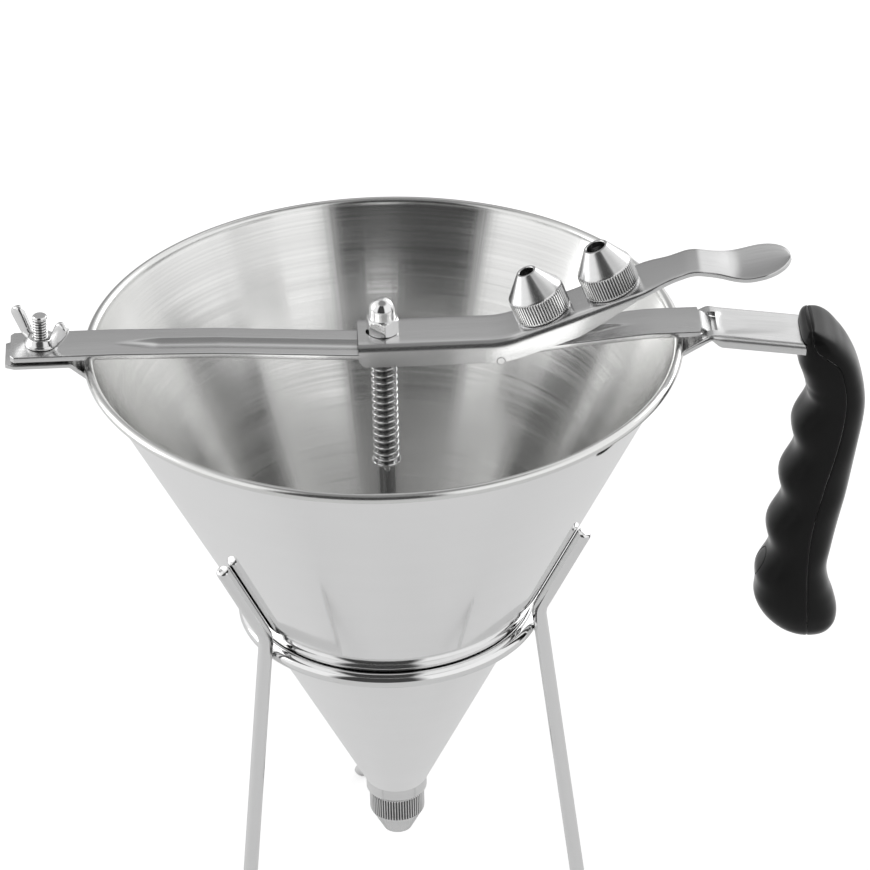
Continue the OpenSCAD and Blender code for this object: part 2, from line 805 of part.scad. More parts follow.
// Strap from the cone's wall to the grip, with side flanges, a dished top and a tang inside
module handle_strap() {
    half = strap_t / 2;
    flange_start = strap_x + 1.6;
    flange_end = grip_face + 2.5;
    slot_end = strap_x + 2.4;
    dish_r = 50;
    dish_depth = 0.6;
    neck_line = bent_line([
        [strap_foot.x, strap_foot.y, 0], [strap_x, strap_z, 3], [flange_start + 4, strap_top(flange_start + 4), 0]
    ]);
    dish_line = [
        [slot_end - 1, strap_top(slot_end - 1) + half - dish_depth],
        [grip_face, strap_top(grip_face) + half + epsilon]
    ];
    color("silver")
        on_axis()
            difference() {
                union() {
                    band(neck_line, half, half, strap_w);
                    translate([flange_start, 0, strap_top(flange_start) + half])
                        rotate([0, 90 + strap_fall, 0])
                            rotate([0, 0, 180])
                                linear_extrude((flange_end - flange_start) / cos(strap_fall))
                                    polygon(channel(strap_w / 2, strap_flange, strap_t, 2));
                    band(tang_line(flange_start), half, half, tang_w);
                }
                trough(dish_line, dish_r, dish_r);
                cone_core();
                translate([tongue_start - 0.6, -tongue_w / 2 - slip_gap, strap_z - 4])
                    cube([slot_end - tongue_start + 0.6, tongue_w + 2 * slip_gap, far]);
                for (z = screw_heights)
                    translate([grip_face, 0, z])
                        rotate([0, 90, 0])
                            cylinder(h = far, d = screw_d + 2 * slip_gap, center = true);
            }
}

// Centre line of the tang, from the strap's top plate down inside the grip
tang_w = 13;
function tang_line(start, longer = 0) = bent_line([
    [start, strap_top(start), 0], [grip_face + 11.5, strap_top(grip_face + 11.5), 5],
    [grip_face + 1.5, rim_height - 96 - longer, 0]
]);

screw_d = 4;
screw_heights = [rim_height - 19, rim_height - 91];
grip_levels = 40;
grip_sides = 28;

// Profile of the grip by depth below its top: front, back and half width as shares
function grip_front(d) =
    let (
        face = lookup(d, [[0, 3], [1.5, 1.6], [7, 0.6], [13, 0], [18.5, 1.6], [24, 3.2]]),
        line = 3.4 - (d - 22) * 0.2105,
        wave = finger_wave * cos(360 * (d - 48.4) / finger_pitch) * ease((d - 22) / 6) * ease((106 - d) / 12)
    )
    grip_face + (d < 24 ? face : line + wave) + lookup(d, [[105, 0], [112, 3.6], [116, 7.6], [119, 12], [122, 18.5]]);
function grip_rear(d) =
    grip_back + lookup(d, [
        [0, -17.5], [1.5, -13.5], [7, -7.6], [13, -3.8], [20, -1.3], [28, 0], [34, 0], [48, -2.5],
        [65, -5.6], [77, -8.4], [87, -10.6], [96, -12.1], [103, -11.2], [108, -9.6], [114, -8.5],
        [118.5, -9.5], [121, -12], [122, -15]
    ]);
function grip_half(d) =
    grip_w / 2 * lookup(d, [
        [0, 0.66], [1.5, 0.84], [5, 0.95], [12, 1], [30, 0.97], [60, 0.93], [90, 0.95], [106, 1],
        [114, 0.92], [118.5, 0.76], [121, 0.52], [122, 0.3]
    ]);

// The whole grip: rounded sections stacked from the top to the heel
module grip_form() {
    depths = [for (i = [0:grip_levels]) 61 - 61 * cos(180 * i / grip_levels)];
    stretch = grip_len / 122;
    points = [
        for (d = depths)
            let (
                a = grip_front(d),
                b = grip_rear(d),
                half = grip_half(d),
                power = lookup(d, [[0, 0.5], [20, 0.72], [60, 0.85]])
            )
            for (k = [0:grip_sides - 1])
                let (t = -360 * k / grip_sides, c = cos(t), s = sin(t))
                [
                    (a + b) / 2 + (b - a) / 2 * sign(c) * pow(abs(c), power),
                    half * sign(s) * pow(abs(s), power),
                    grip_top - d * stretch
                ]
    ];
    polyhedron(points, tube_faces(grip_levels, grip_sides));
}

// The side of the seam that belongs to the finger shell
module finger_side(shift)
    upright()
        linear_extrude(far, center = true)
            polygon(concat(
                [for (p = [
                    [5.2, 10], [5.6, -2.5], [8.5, -4.8], [12.8, -8.5], [15, -15], [15.7, -24], [14.6, -34],
                    [11.5, -47], [8.4, -58], [5.5, -70], [3.9, -81], [3.8, -130]
                ]) [grip_face + p.x + shift, rim_height + p.y]],
                [[grip_face - 60, rim_height - 130], [grip_face - 60, rim_height + 10]]
            ));

// Room in the shells for the strap, its tang and the screws
module strap_pocket() {
    strap_room = [
        for (x = [grip_face - 5, grip_face + 3])
            [x, strap_top(x)]
    ];
    band(strap_room, strap_t / 2 + slip_gap, strap_flange - strap_t / 2 + slip_gap, strap_w + 2 * slip_gap);
    band(tang_line(grip_face + 1, 1), strap_t / 2 + slip_gap, strap_t / 2 + slip_gap, tang_w + 2 * slip_gap);
    for (z = screw_heights)
        translate([0, 0, z])
            rotate([0, 90, 0])
                cylinder(h = screw_end(z) + 0.3, d = screw_d);
    for (z = screw_heights)
        translate([0, 0, z])
            rotate([0, 90, 0])
                cylinder(h = screw_seat(z), d = plug_hole_d);
}

plug_hole_d = 9;
function screw_seat(z) = grip_front(grip_top - z) + 4.6;
function screw_end(z) = grip_rear(grip_top - z) - 6;

module grip_inner_shell()
    color([0.1, 0.1, 0.1])
        on_axis()
            difference() {
                intersection() {
                    grip_form();
                    finger_side(-0.05);
                }
                strap_pocket();
            }

module grip_outer_shell()
    color([0.14, 0.14, 0.14])
        on_axis()
            difference() {
                grip_form();
                finger_side(0.05);
                strap_pocket();
            }

// Two countersunk screws through the tang
module grip_screws()
    color("gray")
        on_axis()
            for (z = screw_heights)
                translate([screw_seat(z), 0, z])
                    rotate([0, 90, 0]) {
                        translate([0, 0, -2])
                            cylinder(h = 2, d1 = 7, d2 = 6);
                        cylinder(h = screw_end(z) - screw_seat(z), d = screw_d);
                    }

// Plug over a screw's head, flush with the finger side
module screw_plug(z)
    color([0.12, 0.12, 0.12])
        on_axis()
            intersection() {
                grip_form();
                translate([0, 0, z])
                    rotate([0, 90, 0])
                        cylinder(h = screw_seat(z) - 2.2, d = plug_hole_d - 0.1);
            }

module screw_plug_upper() screw_plug(screw_heights[0]);
module screw_plug_lower() screw_plug(screw_heights[1]);

stand_ring();
stand_leg_rear();
stand_leg_left();
stand_leg_right();
funnel_cone();
outlet_spigot();
ear_plate();
ear_stud();
spacer_washer();
wing_nut();
crossbar();
fulcrum_pin();
lever();
nozzle_post_near();
nozzle_post_far();
nozzle_small();
nozzle_medium();
nozzle_large();
piston_rod();
valve_plug();
upper_washer();
return_spring();
lower_washer();
cross_pin();
domed_nut();
handle_strap();
grip_inner_shell();
grip_outer_shell();
grip_screws();
screw_plug_upper();
screw_plug_lower();
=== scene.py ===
"""Batter dispenser: a spun cone on a wire stand, with a lever-worked valve rod and a pistol grip."""

import bmesh
import bpy
import numpy as np
from mathutils import Matrix, Vector


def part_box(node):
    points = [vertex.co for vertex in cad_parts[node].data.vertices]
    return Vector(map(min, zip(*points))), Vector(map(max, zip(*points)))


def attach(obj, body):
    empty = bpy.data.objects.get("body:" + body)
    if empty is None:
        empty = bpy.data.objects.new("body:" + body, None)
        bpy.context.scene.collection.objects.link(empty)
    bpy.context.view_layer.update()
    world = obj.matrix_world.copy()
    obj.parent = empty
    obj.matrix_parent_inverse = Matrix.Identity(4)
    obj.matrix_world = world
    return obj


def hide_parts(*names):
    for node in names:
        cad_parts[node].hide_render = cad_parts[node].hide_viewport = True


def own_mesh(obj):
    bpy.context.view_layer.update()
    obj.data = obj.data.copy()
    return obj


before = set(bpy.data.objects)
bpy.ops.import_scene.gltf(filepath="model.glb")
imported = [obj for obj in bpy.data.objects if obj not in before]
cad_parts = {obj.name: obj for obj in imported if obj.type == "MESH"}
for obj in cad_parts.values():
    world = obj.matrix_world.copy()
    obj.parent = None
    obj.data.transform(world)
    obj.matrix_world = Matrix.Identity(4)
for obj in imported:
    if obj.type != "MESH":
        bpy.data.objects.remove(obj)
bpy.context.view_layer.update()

# ---- Stand ring ----------------------------------------------------------------------
# A hoop of 5 mm bright drawn stainless wire, bent round and butt welded. The cone drops
# into it, and the three legs are welded to its outer side.

MM = 0.001
ring_low, ring_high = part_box("stand_ring")
AXIS_X = (ring_low.x + ring_high.x) / 2 / MM
WIRE_R = 2.5
RING_Z = (ring_low.z + ring_high.z) / 2 / MM
RING_R = (ring_high.x - ring_low.x) / 2 / MM - WIRE_R


def unit(angle):
    """Directions (cos a, sin a) for an array of angles."""
    return np.stack([np.cos(angle), np.sin(angle)], -1)


def circle(radius, sides):
    """Points of a circle: radius * (cos a, sin a), with a in equal steps round the turn."""
    return radius * unit(np.arange(sides) * 2 * np.pi / sides)


def about_axis(r, a, h):
    """Points (r cos a, r sin a, h) about the upright axis, from arrays that fit one another's shape."""
    return np.stack(np.broadcast_arrays(r * np.cos(a), r * np.sin(a), h), -1)


def rings_at(profile, sides):
    """Rows of points round the axis, one for each (radius, height) of a profile."""
    r, h = np.asarray(profile, float).T[:, :, None]
    return about_axis(r, np.arange(sides) * 2 * np.pi / sides, h)


def arc_lengths(points, closed):
    """Distance run along rows of points, averaged over the columns, and back to the start if closed."""
    line = np.concatenate([points, points[:1]]) if closed else points
    steps = np.linalg.norm(np.diff(line, axis=0), axis=-1).mean(axis=1)
    return np.concatenate([[0.0], np.cumsum(steps)])


def skin(points, close_rows=False, close_columns=True):
    """A grid of points, rows x columns x 3, as one part of a mesh: quads between neighbours, wrapped
    round where closed, a flat face over each open end ring, and a UV map of distances in mm."""
    rows, columns = points.shape[:2]
    i = np.arange(rows if close_rows else rows - 1)[:, None]
    j = np.arange(columns if close_columns else columns - 1)[None, :]
    ni, nj = (i + 1) % rows, (j + 1) % columns
    corners = [i * columns + j, ni * columns + j, ni * columns + nj, i * columns + nj]
    quads = np.stack(corners, -1).reshape(-1, 4).tolist()
    along = arc_lengths(points, close_rows)
    across = arc_lengths(points.transpose(1, 0, 2), close_columns)
    i, j = i + 0 * j, j + 0 * i
    u = np.stack([along[i], along[i + 1], along[i + 1], along[i]], -1)
    v = np.stack([across[j], across[j], across[j + 1], across[j + 1]], -1)
    uv = np.stack([u, v], -1).reshape(-1, 2)
    flat = points.reshape(-1, 3)
    for first in (0, (rows - 1) * columns):
        ring = flat[first : first + columns]
        open_end = close_columns and not close_rows
        if open_end and np.ptp(ring, axis=0).max() > 1e-4:
            quads.append(list(range(first, first + columns)))
            uv = np.concatenate([uv, ring[:, :2]])
    return flat, quads, uv


MERGE, SLIVER = 2e-7, 1e-8


def make_mesh(name, parts):
    """Joins parts into one closed mesh in metres, with doubles merged and faces turned outwards."""
    offsets = np.cumsum([0] + [len(points) for points, _, _ in parts])
    points = np.concatenate([points for points, _, _ in parts]) + (AXIS_X, 0.0, 0.0)
    faces = [[int(n + o) for n in f] for (_, quads, _), o in zip(parts, offsets) for f in quads]
    mesh = bpy.data.meshes.new(name)
    mesh.from_pydata((points * MM).tolist(), [], faces)
    uv = np.concatenate([uv for _, _, uv in parts]) * MM
    mesh.uv_layers.new(name="UVMap").data.foreach_set("uv", uv.astype(np.float32).ravel())
    work = bmesh.new()
    work.from_mesh(mesh)
    bmesh.ops.remove_doubles(work, verts=work.verts, dist=MERGE)
    bmesh.ops.dissolve_degenerate(work, edges=work.edges, dist=SLIVER)
    bmesh.ops.recalc_face_normals(work, faces=work.faces)
    work.to_mesh(mesh)
    work.free()
    return mesh


def new_object(name, data):
    """An object with its data, put in the scene."""
    obj = bpy.data.objects.new(name, data)
    bpy.context.scene.collection.objects.link(obj)
    return obj


def settle(obj):
    """Replaces an object's mesh by what its modifiers make of it."""
    bpy.context.view_layer.update()
    graph = bpy.context.evaluated_depsgraph_get()
    done = bpy.data.meshes.new_from_object(
        obj.evaluated_get(graph), preserve_all_data_layers=True, depsgraph=graph
    )
    obj.modifiers.clear()
    obj.data = done


def piece(name, parts, body, nodes, material, sharp=38, bevel=0.0, cuts=()):
    """One finished piece: cuts are parts taken away, bevel rounds its edges (mm), sharp is the crease
    angle in degrees."""
    obj = new_object(name, make_mesh(name, parts))
    for part in cuts:
        tool = new_object(name + "_cut", make_mesh(name + "_cut", [part]))
        carve = obj.modifiers.new("carve", "BOOLEAN")
        carve.object, carve.solver, carve.use_self = tool, "EXACT", len(parts) > 1
        settle(obj)
        bpy.data.objects.remove(tool)
    obj.data.shade_smooth()
    if bevel:
        edge = obj.modifiers.new("edge", "BEVEL")
        edge.width, edge.segments, edge.limit_method = bevel * MM, 2, "ANGLE"
        edge.angle_limit, edge.harden_normals = np.radians(sharp), True
        edge.use_clamp_overlap = True
        settle(obj)
    else:
        obj.data.set_sharp_from_angle(angle=np.radians(sharp))
    obj.data.name = name
    obj.data.materials.clear()
    obj.data.materials.append(material)
    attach(obj, body)
    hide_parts(*nodes)
    return obj


def revolve(profile, sides):
    """Turns a closed profile of (radius, height) about the upright axis. One that starts and ends on
    the axis is closed there by its poles."""
    on_axis = abs(profile[0][0]) < 1e-9 and abs(profile[-1][0]) < 1e-9
    return skin(rings_at(profile, sides), close_rows=not on_axis)


def feed(node, inputs):
    """Sets a node's inputs, by name or number, to plain values or to links from other nodes' sockets."""
    for key, value in inputs.items():
        if isinstance(value, bpy.types.NodeSocket):
            node.id_data.links.new(value, node.inputs[key])
        else:
            node.inputs[key].default_value = value
    return node


def add_node(tree, kind, inputs=None, **settings):
    """A new shader node with its settings and its inputs."""
    node = tree.nodes.new("ShaderNode" + kind)
    for key, value in settings.items():
        setattr(node, key, value)
    return feed(node, inputs or {})


def maths(tree, kind, *values):
    """The result of one Math node, fed by sockets or plain numbers."""
    return add_node(tree, "Math", dict(enumerate(values)), operation=kind).outputs[0]


def vector(tree, kind, inputs):
    """The result of one Vector Math node."""
    return add_node(tree, "VectorMath", inputs, operation=kind).outputs[0]


def new_material(name, inputs):
    """A material, its node tree, and its surface shader with the inputs set."""
    material = bpy.data.materials.new(name)
    material.use_nodes = True
    return material, material.node_tree, feed(material.node_tree.nodes["Principled BSDF"], inputs)


def noise(tree, source, scale, detail):
    """A noise texture's value, read at a vector."""
    return add_node(tree, "TexNoise", {"Vector": source, "Scale": scale, "Detail": detail}).outputs["Fac"]


def machining_marks():
    """Shader group. A noise read from a stretched vector draws out into hairlines, and a softer one
    gives patches. Roughness is base + spread * (both - 1), and the tint is 1 - shade * both."""
    group = bpy.data.node_groups.new("machining_marks", "ShaderNodeTree")
    for label, kind in (("Vector", "Vector"), ("Base", "Float"), ("Spread", "Float"), ("Shade", "Float")):
        group.interface.new_socket(label, in_out="INPUT", socket_type="NodeSocket" + kind)
    for label in ("Roughness", "Tint", "Height"):
        group.interface.new_socket(label, in_out="OUTPUT", socket_type="NodeSocketFloat")
    given = group.nodes.new("NodeGroupInput").outputs
    hair, patch = noise(group, given["Vector"], 1.0, 4.0), noise(group, given["Vector"], 0.13, 2.0)
    both = maths(group, "ADD", hair, patch)
    swing = maths(group, "SUBTRACT", both, 1.0)
    rough = maths(group, "ADD", given["Base"], maths(group, "MULTIPLY", swing, given["Spread"]))
    tint = maths(group, "SUBTRACT", 1.0, maths(group, "MULTIPLY", both, given["Shade"]))
    feed(group.nodes.new("NodeGroupOutput"), {"Roughness": rough, "Tint": tint, "Height": hair})
    return group


MARKS = machining_marks()
MARK_DEPTH = 0.02


def metal(name, colour, roughness, pitch, spread=0.1, shade=0.06, bump=0.15, across=0.0, rings=False):
    """A metal with machining marks. pitch is the marks' spacing in mm along and across the piece's UV
    map, or with rings along the cone's turn and its height. across is how far the marks stretch a
    reflection over themselves."""
    material, tree, shader = new_material(name, {"Metallic": 1.0})
    place = add_node(tree, "TexCoord").outputs
    source = place["UV"]
    if rings:
        centred = vector(tree, "SUBTRACT", {0: place["Object"], 1: (AXIS_X * MM, 0, 0)})
        level = vector(tree, "MULTIPLY", {0: centred, 1: (1, 1, 0)})
        turn = vector(tree, "SCALE", {0: vector(tree, "NORMALIZE", {0: level}), "Scale": 0.1})
        source = vector(tree, "MULTIPLY_ADD", {0: centred, 1: (0, 0, 1), 2: turn})
    scaled = add_node(tree, "Mapping", {"Vector": source, "Scale": [1 / (p * MM) for p in pitch]})
    kind = {"Vector": scaled.outputs[0], "Base": roughness, "Spread": spread, "Shade": shade}
    marks = add_node(tree, "Group", kind, node_tree=MARKS).outputs
    tinted = vector(tree, "SCALE", {0: colour, "Scale": marks["Tint"]})
    feed(shader, {"Base Color": tinted, "Roughness": marks["Roughness"]})
    if bump:
        depth = {"Strength": bump, "Distance": MARK_DEPTH * MM, "Height": marks["Height"]}
        feed(shader, {"Normal": add_node(tree, "Bump", depth).outputs[0]})
    if across:
        groove = add_node(tree, "Tangent", direction_type="UV_MAP", uv_map="UVMap").outputs[0]
        turned_by = 0.25 if pitch[0] > pitch[1] else 0.0
        feed(shader, {"Anisotropic": across, "Anisotropic Rotation": turned_by, "Tangent": groove})
    return material


wire_steel = metal("drawn_wire", (0.86, 0.86, 0.86), 0.09, (6, 0.5, 1), spread=0.05, shade=0.03, bump=0.05)
ring_section = circle(WIRE_R, 24) + (RING_R, RING_Z)
piece("wire_ring", [revolve(ring_section, 192)], "stand", ["stand_ring"], wire_steel)

# ---- Stand legs ----------------------------------------------------------------------
# Three lengths of the same wire. The arm lies along the cone, the shank is welded to the
# ring's outer side, and the foot is ground flat. The arm's tip is tumbled round.

RIM_Z = 233.0
SLOPE = np.radians(26.7)
WALL = 0.9
INNER_TOP_R = 96.7


def wall_in(z):
    """Radius of the cone's inside face at a height."""
    return INNER_TOP_R - (RIM_Z - z) * np.tan(SLOPE)


def wall_out(z):
    """Radius of the cone's outside face at a height."""
    return wall_in(z) + WALL / np.cos(SLOPE)


def rounded(corners, steps=10):
    """A line through corners (x, z, radius): each corner is cut back by radius * tan(turn / 2) on both
    sides and the cut is bridged by an arc, whose points are centre + radius * (cos, sin)."""
    line = [np.array(corners[0][:2], float)]
    for before, here, after in zip(corners, corners[1:], corners[2:]):
        b = np.array(here[:2], float)
        u = np.array(before[:2]) - b
        v = np.array(after[:2]) - b
        u, v = u / np.linalg.norm(u), v / np.linalg.norm(v)
        half = np.arccos(np.clip(u @ v, -1, 1)) / 2
        if here[2] == 0:
            line.append(b)
            continue
        middle = b + (u + v) / np.linalg.norm(u + v) * here[2] / np.sin(half)
        p, q = b + u * here[2] / np.tan(half) - middle, b + v * here[2] / np.tan(half) - middle
        start = np.arctan2(p[1], p[0])
        turn = (np.arctan2(q[1], q[0]) - start + 3 * np.pi) % (2 * np.pi) - np.pi
        angle = start + turn * np.linspace(0, 1, steps + 1)
        line.extend(middle + here[2] * unit(angle))
    line.append(np.array(corners[-1][:2], float))
    return np.array(line)


def left_of(line):
    """Unit normals on a line's left, mitred: the sum of the two neighbouring normals over 1 + their
    product."""
    run = np.diff(line, axis=0)
    run /= np.linalg.norm(run, axis=1)[:, None]
    before = np.concatenate([run[:1], run])
    after = np.concatenate([run, run[-1:]])
    side = before + after
    side /= (1 + (before * after).sum(1))[:, None]
    return np.stack([-side[:, 1], side[:, 0]], -1)


def sweep(line, sections):
    """Carries sections (up, side) along a line in the XZ plane: line + up * left normal, with side as Y."""
    normal = left_of(line)
    up, side = sections[..., 0], sections[..., 1]
    x = line[:, None, 0] + up * normal[:, None, 0]
    z = line[:, None, 1] + up * normal[:, None, 1]
    return np.stack([x, side + 0 * x, z], -1)


def soft_end(line, radius, corner, steps=5):
    """Rounds a bar's first end: rows inside the corner shrink by corner - sqrt(corner^2 - d^2). Returns
    line, radii."""
    way = (line[1] - line[0]) / np.linalg.norm(line[1] - line[0])
    t = np.linspace(0, np.pi / 2, steps + 1)[:-1]
    rows = line[0] + np.outer(corner * (1 - np.cos(t)), way)
    shrunk = radius - corner * (1 - np.sin(t))
    radii = np.concatenate([shrunk, np.full(len(line), radius)])
    return np.concatenate([rows, line[:1] + corner * way, line[1:]]), radii


def turned(grid, degrees):
    """A grid of points turned about the upright axis."""
    a = np.radians(degrees)
    x, y = grid[..., 0], grid[..., 1]
    return np.stack([x * np.cos(a) - y * np.sin(a), x * np.sin(a) + y * np.cos(a), grid[..., 2]], -1)


def closed_at_start(grid):
    """The same grid with a first row drawn in to its middle, so that the end is a closed pole."""
    pole = np.broadcast_to(grid[:1].mean(axis=1, keepdims=True), grid[:1].shape)
    return np.concatenate([pole, grid])


ARM_Z, KNEE, TOE = RIM_Z - 59.6, (68.0, 21.0), (92.0, 0.0)
WIRE_BEND = 9.0
GAP = 0.15
LEG_DIRECTIONS = {"rear": 97, "left": 217, "right": 337}
beside = (WIRE_R + GAP) / np.cos(SLOPE)
away, above = KNEE[0] - RING_R, RING_Z - KNEE[1]
lean = np.arctan2(away, above) - np.arcsin(2 * WIRE_R / np.hypot(away, above))
elbow_z = (away + KNEE[1] * np.tan(lean) + RING_Z * np.tan(SLOPE)) / (np.tan(lean) + np.tan(SLOPE))
elbow = (wall_out(elbow_z) + beside, elbow_z, WIRE_BEND)
leg_line = rounded([(wall_out(ARM_Z) + beside, ARM_Z, 0), elbow, (*KNEE, WIRE_BEND), (*TOE, 0)])
leg_line, leg_radii = soft_end(leg_line, WIRE_R, 1.3)
leg_sections = leg_radii[:, None, None] * circle(1.0, 24)[None]
leg = sweep(leg_line, leg_sections)
foot_way = (leg_line[-1] - leg_line[-2]) / np.linalg.norm(leg_line[-1] - leg_line[-2])
reach = -leg[-1, :, 2] / foot_way[1]
leg[-1, :, 0] += reach * foot_way[0]
leg[-1, :, 2] = 0.0
leg = closed_at_start(leg)
for side, direction in LEG_DIRECTIONS.items():
    piece(
        f"wire_leg_{side}", [skin(turned(leg, direction))], "stand", [f"stand_leg_{side}"],
        wire_steel,
    )

# ---- Cone ----------------------------------------------------------------------------
# Spun from 0.9 mm stainless sheet. Its outside is buffed bright on the lathe, and its
# inside keeps the fine rings of the abrasive. The rim is rolled outwards into a bead.

BEAD_R = 1.65
OUTLET_Z = RIM_Z - (INNER_TOP_R - 9.5) / np.tan(SLOPE)
spun_steel = metal(
    "spun_steel", (0.95, 0.95, 0.94), 0.2, (200, 200, 0.8),
    spread=0.16, shade=0.15, bump=0.14, across=0.8, rings=True,
)
bead_angle = np.radians(np.linspace(172, -148, 30))
bead = BEAD_R * unit(bead_angle) + (INNER_TOP_R + BEAD_R, RIM_Z)
inside_z = np.linspace(OUTLET_Z, RIM_Z - 0.6, 24)
outside_z = np.linspace(RIM_Z - 1.9, OUTLET_Z, 24)
cone_profile = np.concatenate(
    [
        np.stack([wall_in(inside_z), inside_z], -1),
        bead,
        np.stack([wall_out(outside_z), outside_z], -1),
    ]
)
cone = piece("spun_cone", [revolve(cone_profile, 288)], "funnel", ["funnel_cone"], spun_steel)
buffed_steel = metal(
    "buffed_steel", (0.95, 0.95, 0.95), 0.07, (300, 300, 2),
    spread=0.03, shade=0.02, bump=0.0, rings=True,
)
cone.data.materials.append(buffed_steel)
tree = spun_steel.node_tree
place = tree.nodes["Mapping"].inputs["Vector"].links[0].from_socket
wide = {"Vector": place, "Scale": (1 / (9 * MM), 1 / (9 * MM), 1 / (500 * MM))}
streaks = {"Vector": add_node(tree, "Mapping", wide).outputs[0]}
streaks = add_node(tree, "Group", streaks, node_tree=MARKS).outputs["Height"]
waves = {"Strength": 1.0, "Distance": 0.06 * MM, "Height": streaks, "Normal": tree.nodes["Bump"].outputs[0]}
feed(tree.nodes["Principled BSDF"], {"Normal": add_node(tree, "Bump", waves).outputs[0]})
for face in cone.data.polygons:
    height, reach_out = face.center.z / MM, np.hypot(face.center.x / MM - AXIS_X, face.center.y / MM)
    face.material_index = int(reach_out > wall_in(height) + 0.5 * WALL and height < RIM_Z - 2)

# ---- Outlet spigot -------------------------------------------------------------------
# Turned stainless: a collar welded under the cone, a conical valve seat, and a coarse
# thread on the outside that the nozzle screws on.

turned_steel = metal("turned_steel", (0.83, 0.83, 0.83), 0.16, (0.25, 8, 1), spread=0.08, shade=0.05, bump=0.1)


def threaded(radius, depth, pitch, low, high, sides=48):
    """Rows of a screw thread: r = radius - depth * (half a cosine of height / pitch - turn), run out at
    both ends."""
    rows = int((high - low) / pitch * 8) + 1
    z = np.linspace(low, high, rows)[:, None]
    turn = np.arange(sides)[None, :] / sides
    fade = np.clip(np.minimum(z - low, high - z) / pitch, 0, 1)
    r = radius - depth * fade * (0.5 - 0.5 * np.cos(2 * np.pi * (z / pitch - turn)))
    a = 2 * np.pi * turn
    return about_axis(r, a, z)


THREAD_R, THREAD_DEPTH, THREAD_PITCH = 7.4, 0.6, 1.5
BORE_R, SEAT_Z = 5.3, OUTLET_Z - 3.6
collar_r = wall_out(OUTLET_Z)
collar_z = OUTLET_Z - 4.4
spigot_end = collar_z - 9.5
spigot = np.concatenate(
    [
        rings_at([(BORE_R, SEAT_Z), (BORE_R, spigot_end), (6.8, spigot_end)], 64),
        threaded(THREAD_R, THREAD_DEPTH, THREAD_PITCH, spigot_end + 0.6, collar_z - 0.4, 64),
        rings_at([(THREAD_R, collar_z), (9.9, collar_z), (collar_r, collar_z + 0.6)], 64),
        rings_at([(collar_r, OUTLET_Z), (8.9, OUTLET_Z)], 64),
    ]
)
piece(
    "outlet_collar", [skin(spigot, close_rows=True)], "funnel", ["outlet_spigot"],
    turned_steel,
)

# ---- Ear -----------------------------------------------------------------------------
# A strip of 1.5 mm stainless sheet, spot welded to the cone under the bead and bent level
# to carry the stud at the crossbar's plain end.

sheet_steel = metal(
    "rolled_sheet", (0.84, 0.84, 0.84), 0.24, (22, 0.7, 1), spread=0.12, shade=0.14, bump=0.1, across=0.6
)
SHEET = 1.5
BAR_W, BAR_T = 17.0, 2.0
BAR_Z = RIM_Z + BEAD_R + 1.25 + BAR_T / 2
EAR_Z = BAR_Z - BAR_T / 2 - 1.2 - SHEET / 2
STUD_X = -113.5


def even(line, step):
    """A line's points spaced evenly along it, by linear interpolation over its length, its corners kept."""
    length = np.concatenate([[0], np.cumsum(np.linalg.norm(np.diff(line, axis=0), axis=1))])
    at = np.unique(np.concatenate([np.arange(0, length[-1], step), length]).round(4))
    return np.stack([np.interp(at, length, line[:, k]) for k in (0, 1)], -1)


def strip_section(half, thickness, edge, columns=2):
    """A flat strip's section (up, side) as a closed loop: both faces, joined by edges rounded with radius
    edge. half is the half width, one value per station."""
    half = np.atleast_1d(half)[:, None]
    quarter = np.radians(np.linspace(0, 90, 4))
    run = (half - edge) * np.linspace(1, -1, columns + 2)[1:-1]
    side, up = [], []
    for k, (right, top) in enumerate(((1, 1), (-1, 1), (-1, -1), (1, -1))):
        angle = quarter + k * np.pi / 2
        side.append(right * (half - edge) + edge * np.cos(angle))
        up.append(top * (thickness / 2 - edge) + edge * np.sin(angle))
        if right == top:
            side.append(run * top)
            up.append(np.full(columns, top * thickness / 2))
    side = np.concatenate(side, 1)
    return np.stack([np.broadcast_to(np.concatenate(up), side.shape), side], -1)


def meet_wall(ring, way, sink):
    """Slides a ring of points along a direction until each lies in the cone's wall, sink mm inside its
    outer face."""
    for _ in range(12):
        error = np.hypot(ring[:, 0], ring[:, 1]) - (wall_out(ring[:, 2]) - sink)
        rate = abs(way[0]) + abs(way[1]) * np.tan(SLOPE)
        ring = ring + (error / rate)[:, None] * np.array([way[0], 0, way[1]])
    return ring


ear_line = rounded([(STUD_X - 12.1, EAR_Z, 0), (-104.1, EAR_Z, 2.5), (-93.5, 224.75, 0)])
ear_line = even(ear_line, 3)
from_end = ear_line[:, 0] - ear_line[0, 0]
ear_half = BAR_W / 2 - 1.5 + np.sqrt(np.maximum(0, 1.5**2 - np.clip(1.5 - from_end, 0, 1.5) ** 2))
ear = sweep(ear_line, strip_section(ear_half, SHEET, 0.3))
ear[-1] = meet_wall(ear[-1], (0.76, -0.65), 0.4)
piece("ear", [skin(ear)], "funnel", ["ear_plate"], sheet_steel, sharp=50)

# ---- Stud, spacer and wing nut -------------------------------------------------------
# An M5 stud riveted through the ear, a steel spacer that keeps bar and ear apart, and a
# pressed wing nut whose two raked wings clamp the crossbar.

STUD_R, STUD_TOP = 2.5, BAR_Z + BAR_T / 2 + 11
stud_foot = EAR_Z - SHEET / 2


def shifted(grid, x=0.0, y=0.0, z=0.0):
    """A grid of points moved by x, y and z."""
    return grid + np.array([x, y, z])


